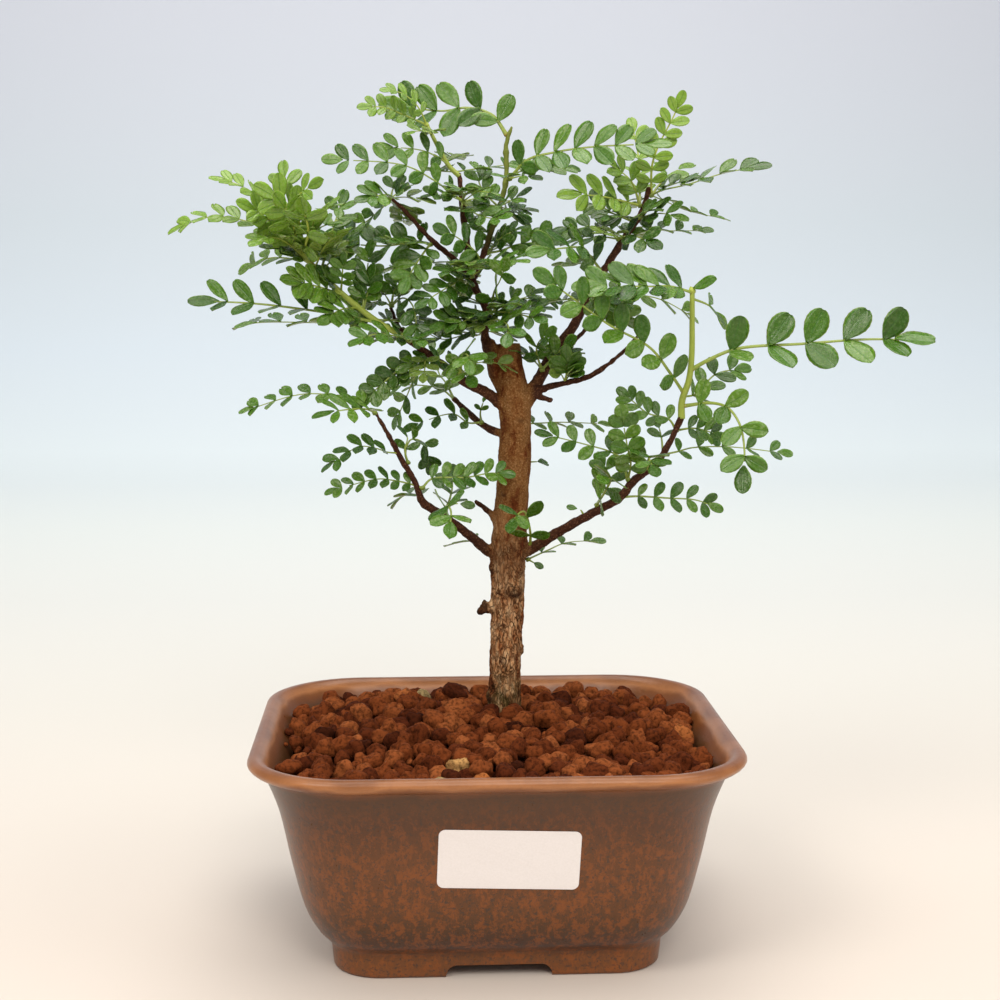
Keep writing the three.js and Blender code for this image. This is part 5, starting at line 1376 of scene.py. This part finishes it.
# The midrib is a groove, and the glint patches make the face a little pebbled
pebbled = add_node(leaf, "Math", {0: patches, 1: midrib}, operation="SUBTRACT")
leaf_bump = add_node(leaf, "Bump", {"Height": pebbled, "Strength": 0.6, "Distance": 0.2 * MM})
feed(leaf_shader, Base_Color=leaf_colour, Roughness=leaf_rough, Normal=leaf_bump)

# %% Green stems and ribs
# Young shoots are smooth and waxy, and a leaf is orange-brown where it joins its stem
green_stem, green_shader = new_material("green_shoot", IOR=1.45, Coat_Weight=0.15)
stem_place = add_node(green_stem, "TexCoord").outputs["Object"]
along_rib, stem_youth = [
    add_node(green_stem, "SeparateXYZ",
             {0: add_node(green_stem, "Attribute", attribute_name=name).outputs["Vector"]})
    for name in ("surface", "tint")]
# Waxy patches 1.2 mm across
stem_grain = add_node(green_stem, "TexNoise", {"Vector": stem_place, "Scale": 1 / (1.2 * MM),
                                               "Detail": 3.0})
stem_tone = add_node(green_stem, "ValToRGB", {0: stem_grain},
                     stops=[(0.3, "#5f7a2c"), (0.65, "#7f9440")])
joint_share = add_node(green_stem, "ValToRGB", {0: along_rib}, stops=[(0.01, 0.75), (0.06, 0.0)])
stem_colour = stem_tone
for share, colour in [(stem_youth, "#a9b84a"), (joint_share, "#9a5a26")]:
    stem_colour = add_node(green_stem, "Mix", {0: share, 6: stem_colour, 7: colour},
                           data_type="RGBA")
stem_rough = add_node(green_stem, "MapRange", {0: stem_grain, 3: 0.35, 4: 0.5})
feed(green_shader, Base_Color=stem_colour, Roughness=stem_rough)

# %% Grow the leaves of one node
# Large leaves with a shape of their own, by node and number: the share of the rib that is bare
# at least, the roll and the size of the last leaflet, and how far the others fold up besides
OWN_SHAPES = {("right_shoot", 1): (0.15, -42, 1.06, 13), ("left_shoot", 9): (0.0, 0, 1.0, 12),
              ("right_shoot", 3): (0.0, 0, 1.0, 8)}


def grow_node(node):
    """Blades of a node, and its green bodies as (body, youth, whether it is a rib)."""
    shoot = SHOOTS[node]
    blades, greens = [], []
    if "stem" in shoot:
        path, radii = limb_path(shoot["stem"], shoot["radii"], 14)
        flat = smooth_path(shoot["stem"], 14)
        greens.append((stacked(rings_along(path, radii, 12)), 0.6, False))
        shape, triangles = COARSE_LUMPS[1]
        greens.append(((shape * 3.2 * radii[-1] + path[-1], triangles.tolist()), 0.9, False))
    else:
        bud, back = bud_place(shoot)
        if len(shoot["leaves"]) > 1:
            shape, triangles = COARSE_LUMPS[0]
            greens.append(((shape * 1.9 * BUD_RADIUS + bud, triangles.tolist()), 0.1, False))
    for number, (rib, lean, pairs, length, facing, *width) in enumerate(shoot["leaves"]):
        if "stem" in shoot:
            index = int(np.argmin(np.hypot(flat[:, 0] - rib[0][0], flat[:, 1] - rib[0][1])))
            points = leaf_path(path[index], flat[index, 2], rib[1:], lean)
        else:
            points = leaf_path(bud, back, rib, lean)
        youth = YOUTH.get(node, {}).get(number, 0.0) + growth.uniform(0, 0.1)
        tint = (youth, SHADE.get(node, {}).get(number, 0.0), PALE_BACKLIT.get(node, 0.0))
        own_shape = OWN_SHAPES.get((node, number), ())
        grown = [(points, pairs, length, facing, *(width or [LEAFLET_WIDTH]), tint, *own_shape)]
        grown += companions(node, number, points, length, youth)
        for leaf_values in grown:
            leaflets, rib_body = grow_leaf(*leaf_values)
            blades += leaflets
            greens.append((rib_body, 0.3 + 0.7 * leaf_values[5][0], True))
    return blades, greens


# %% Grow every leafy piece
def leafy_piece(name, nodes):
    """All leaves of some nodes as one mesh: blades first, then ribs, buds and green stems."""
    grown = [grow_node(node) for node in nodes]
    blades = [blade for node_blades, _ in grown for blade in node_blades]
    greens = [green for _, node_greens in grown for green in node_greens]
    points, faces = merged([blade[:2] for blade in blades] + [body for body, _, _ in greens])
    piece = new_piece(name, points, faces, leaf)
    piece.data.materials.append(green_stem)
    blade_faces = sum(len(blade[1]) for blade in blades)
    slots = [0] * blade_faces + [1] * (len(faces) - blade_faces)
    piece.data.polygons.foreach_set("material_index", slots)
    # On a green body, "surface" starts with the place along a rib, and "tint" with its youth
    along = [np.linspace(0, 1, len(body[0])) if is_rib else np.ones(len(body[0]))
             for body, _, is_rib in greens]
    youths = [np.full(len(body[0]), youth) for body, youth, _ in greens]
    for attribute, column, values in [("surface", 2, along), ("tint", 3, youths)]:
        green_rows = np.outer(np.concatenate(values), [1, 0, 0])
        rows = np.vstack([*(blade[column] for blade in blades), green_rows])
        set_attribute(piece, attribute, "FLOAT_VECTOR", rows)
    dress(piece, "leaves", *nodes)


groups = {}
for node, shoot in SHOOTS.items():
    groups.setdefault("leaves_" + shoot.get("on", node), []).append(node)
for name, nodes in groups.items():
    leafy_piece(name, nodes)
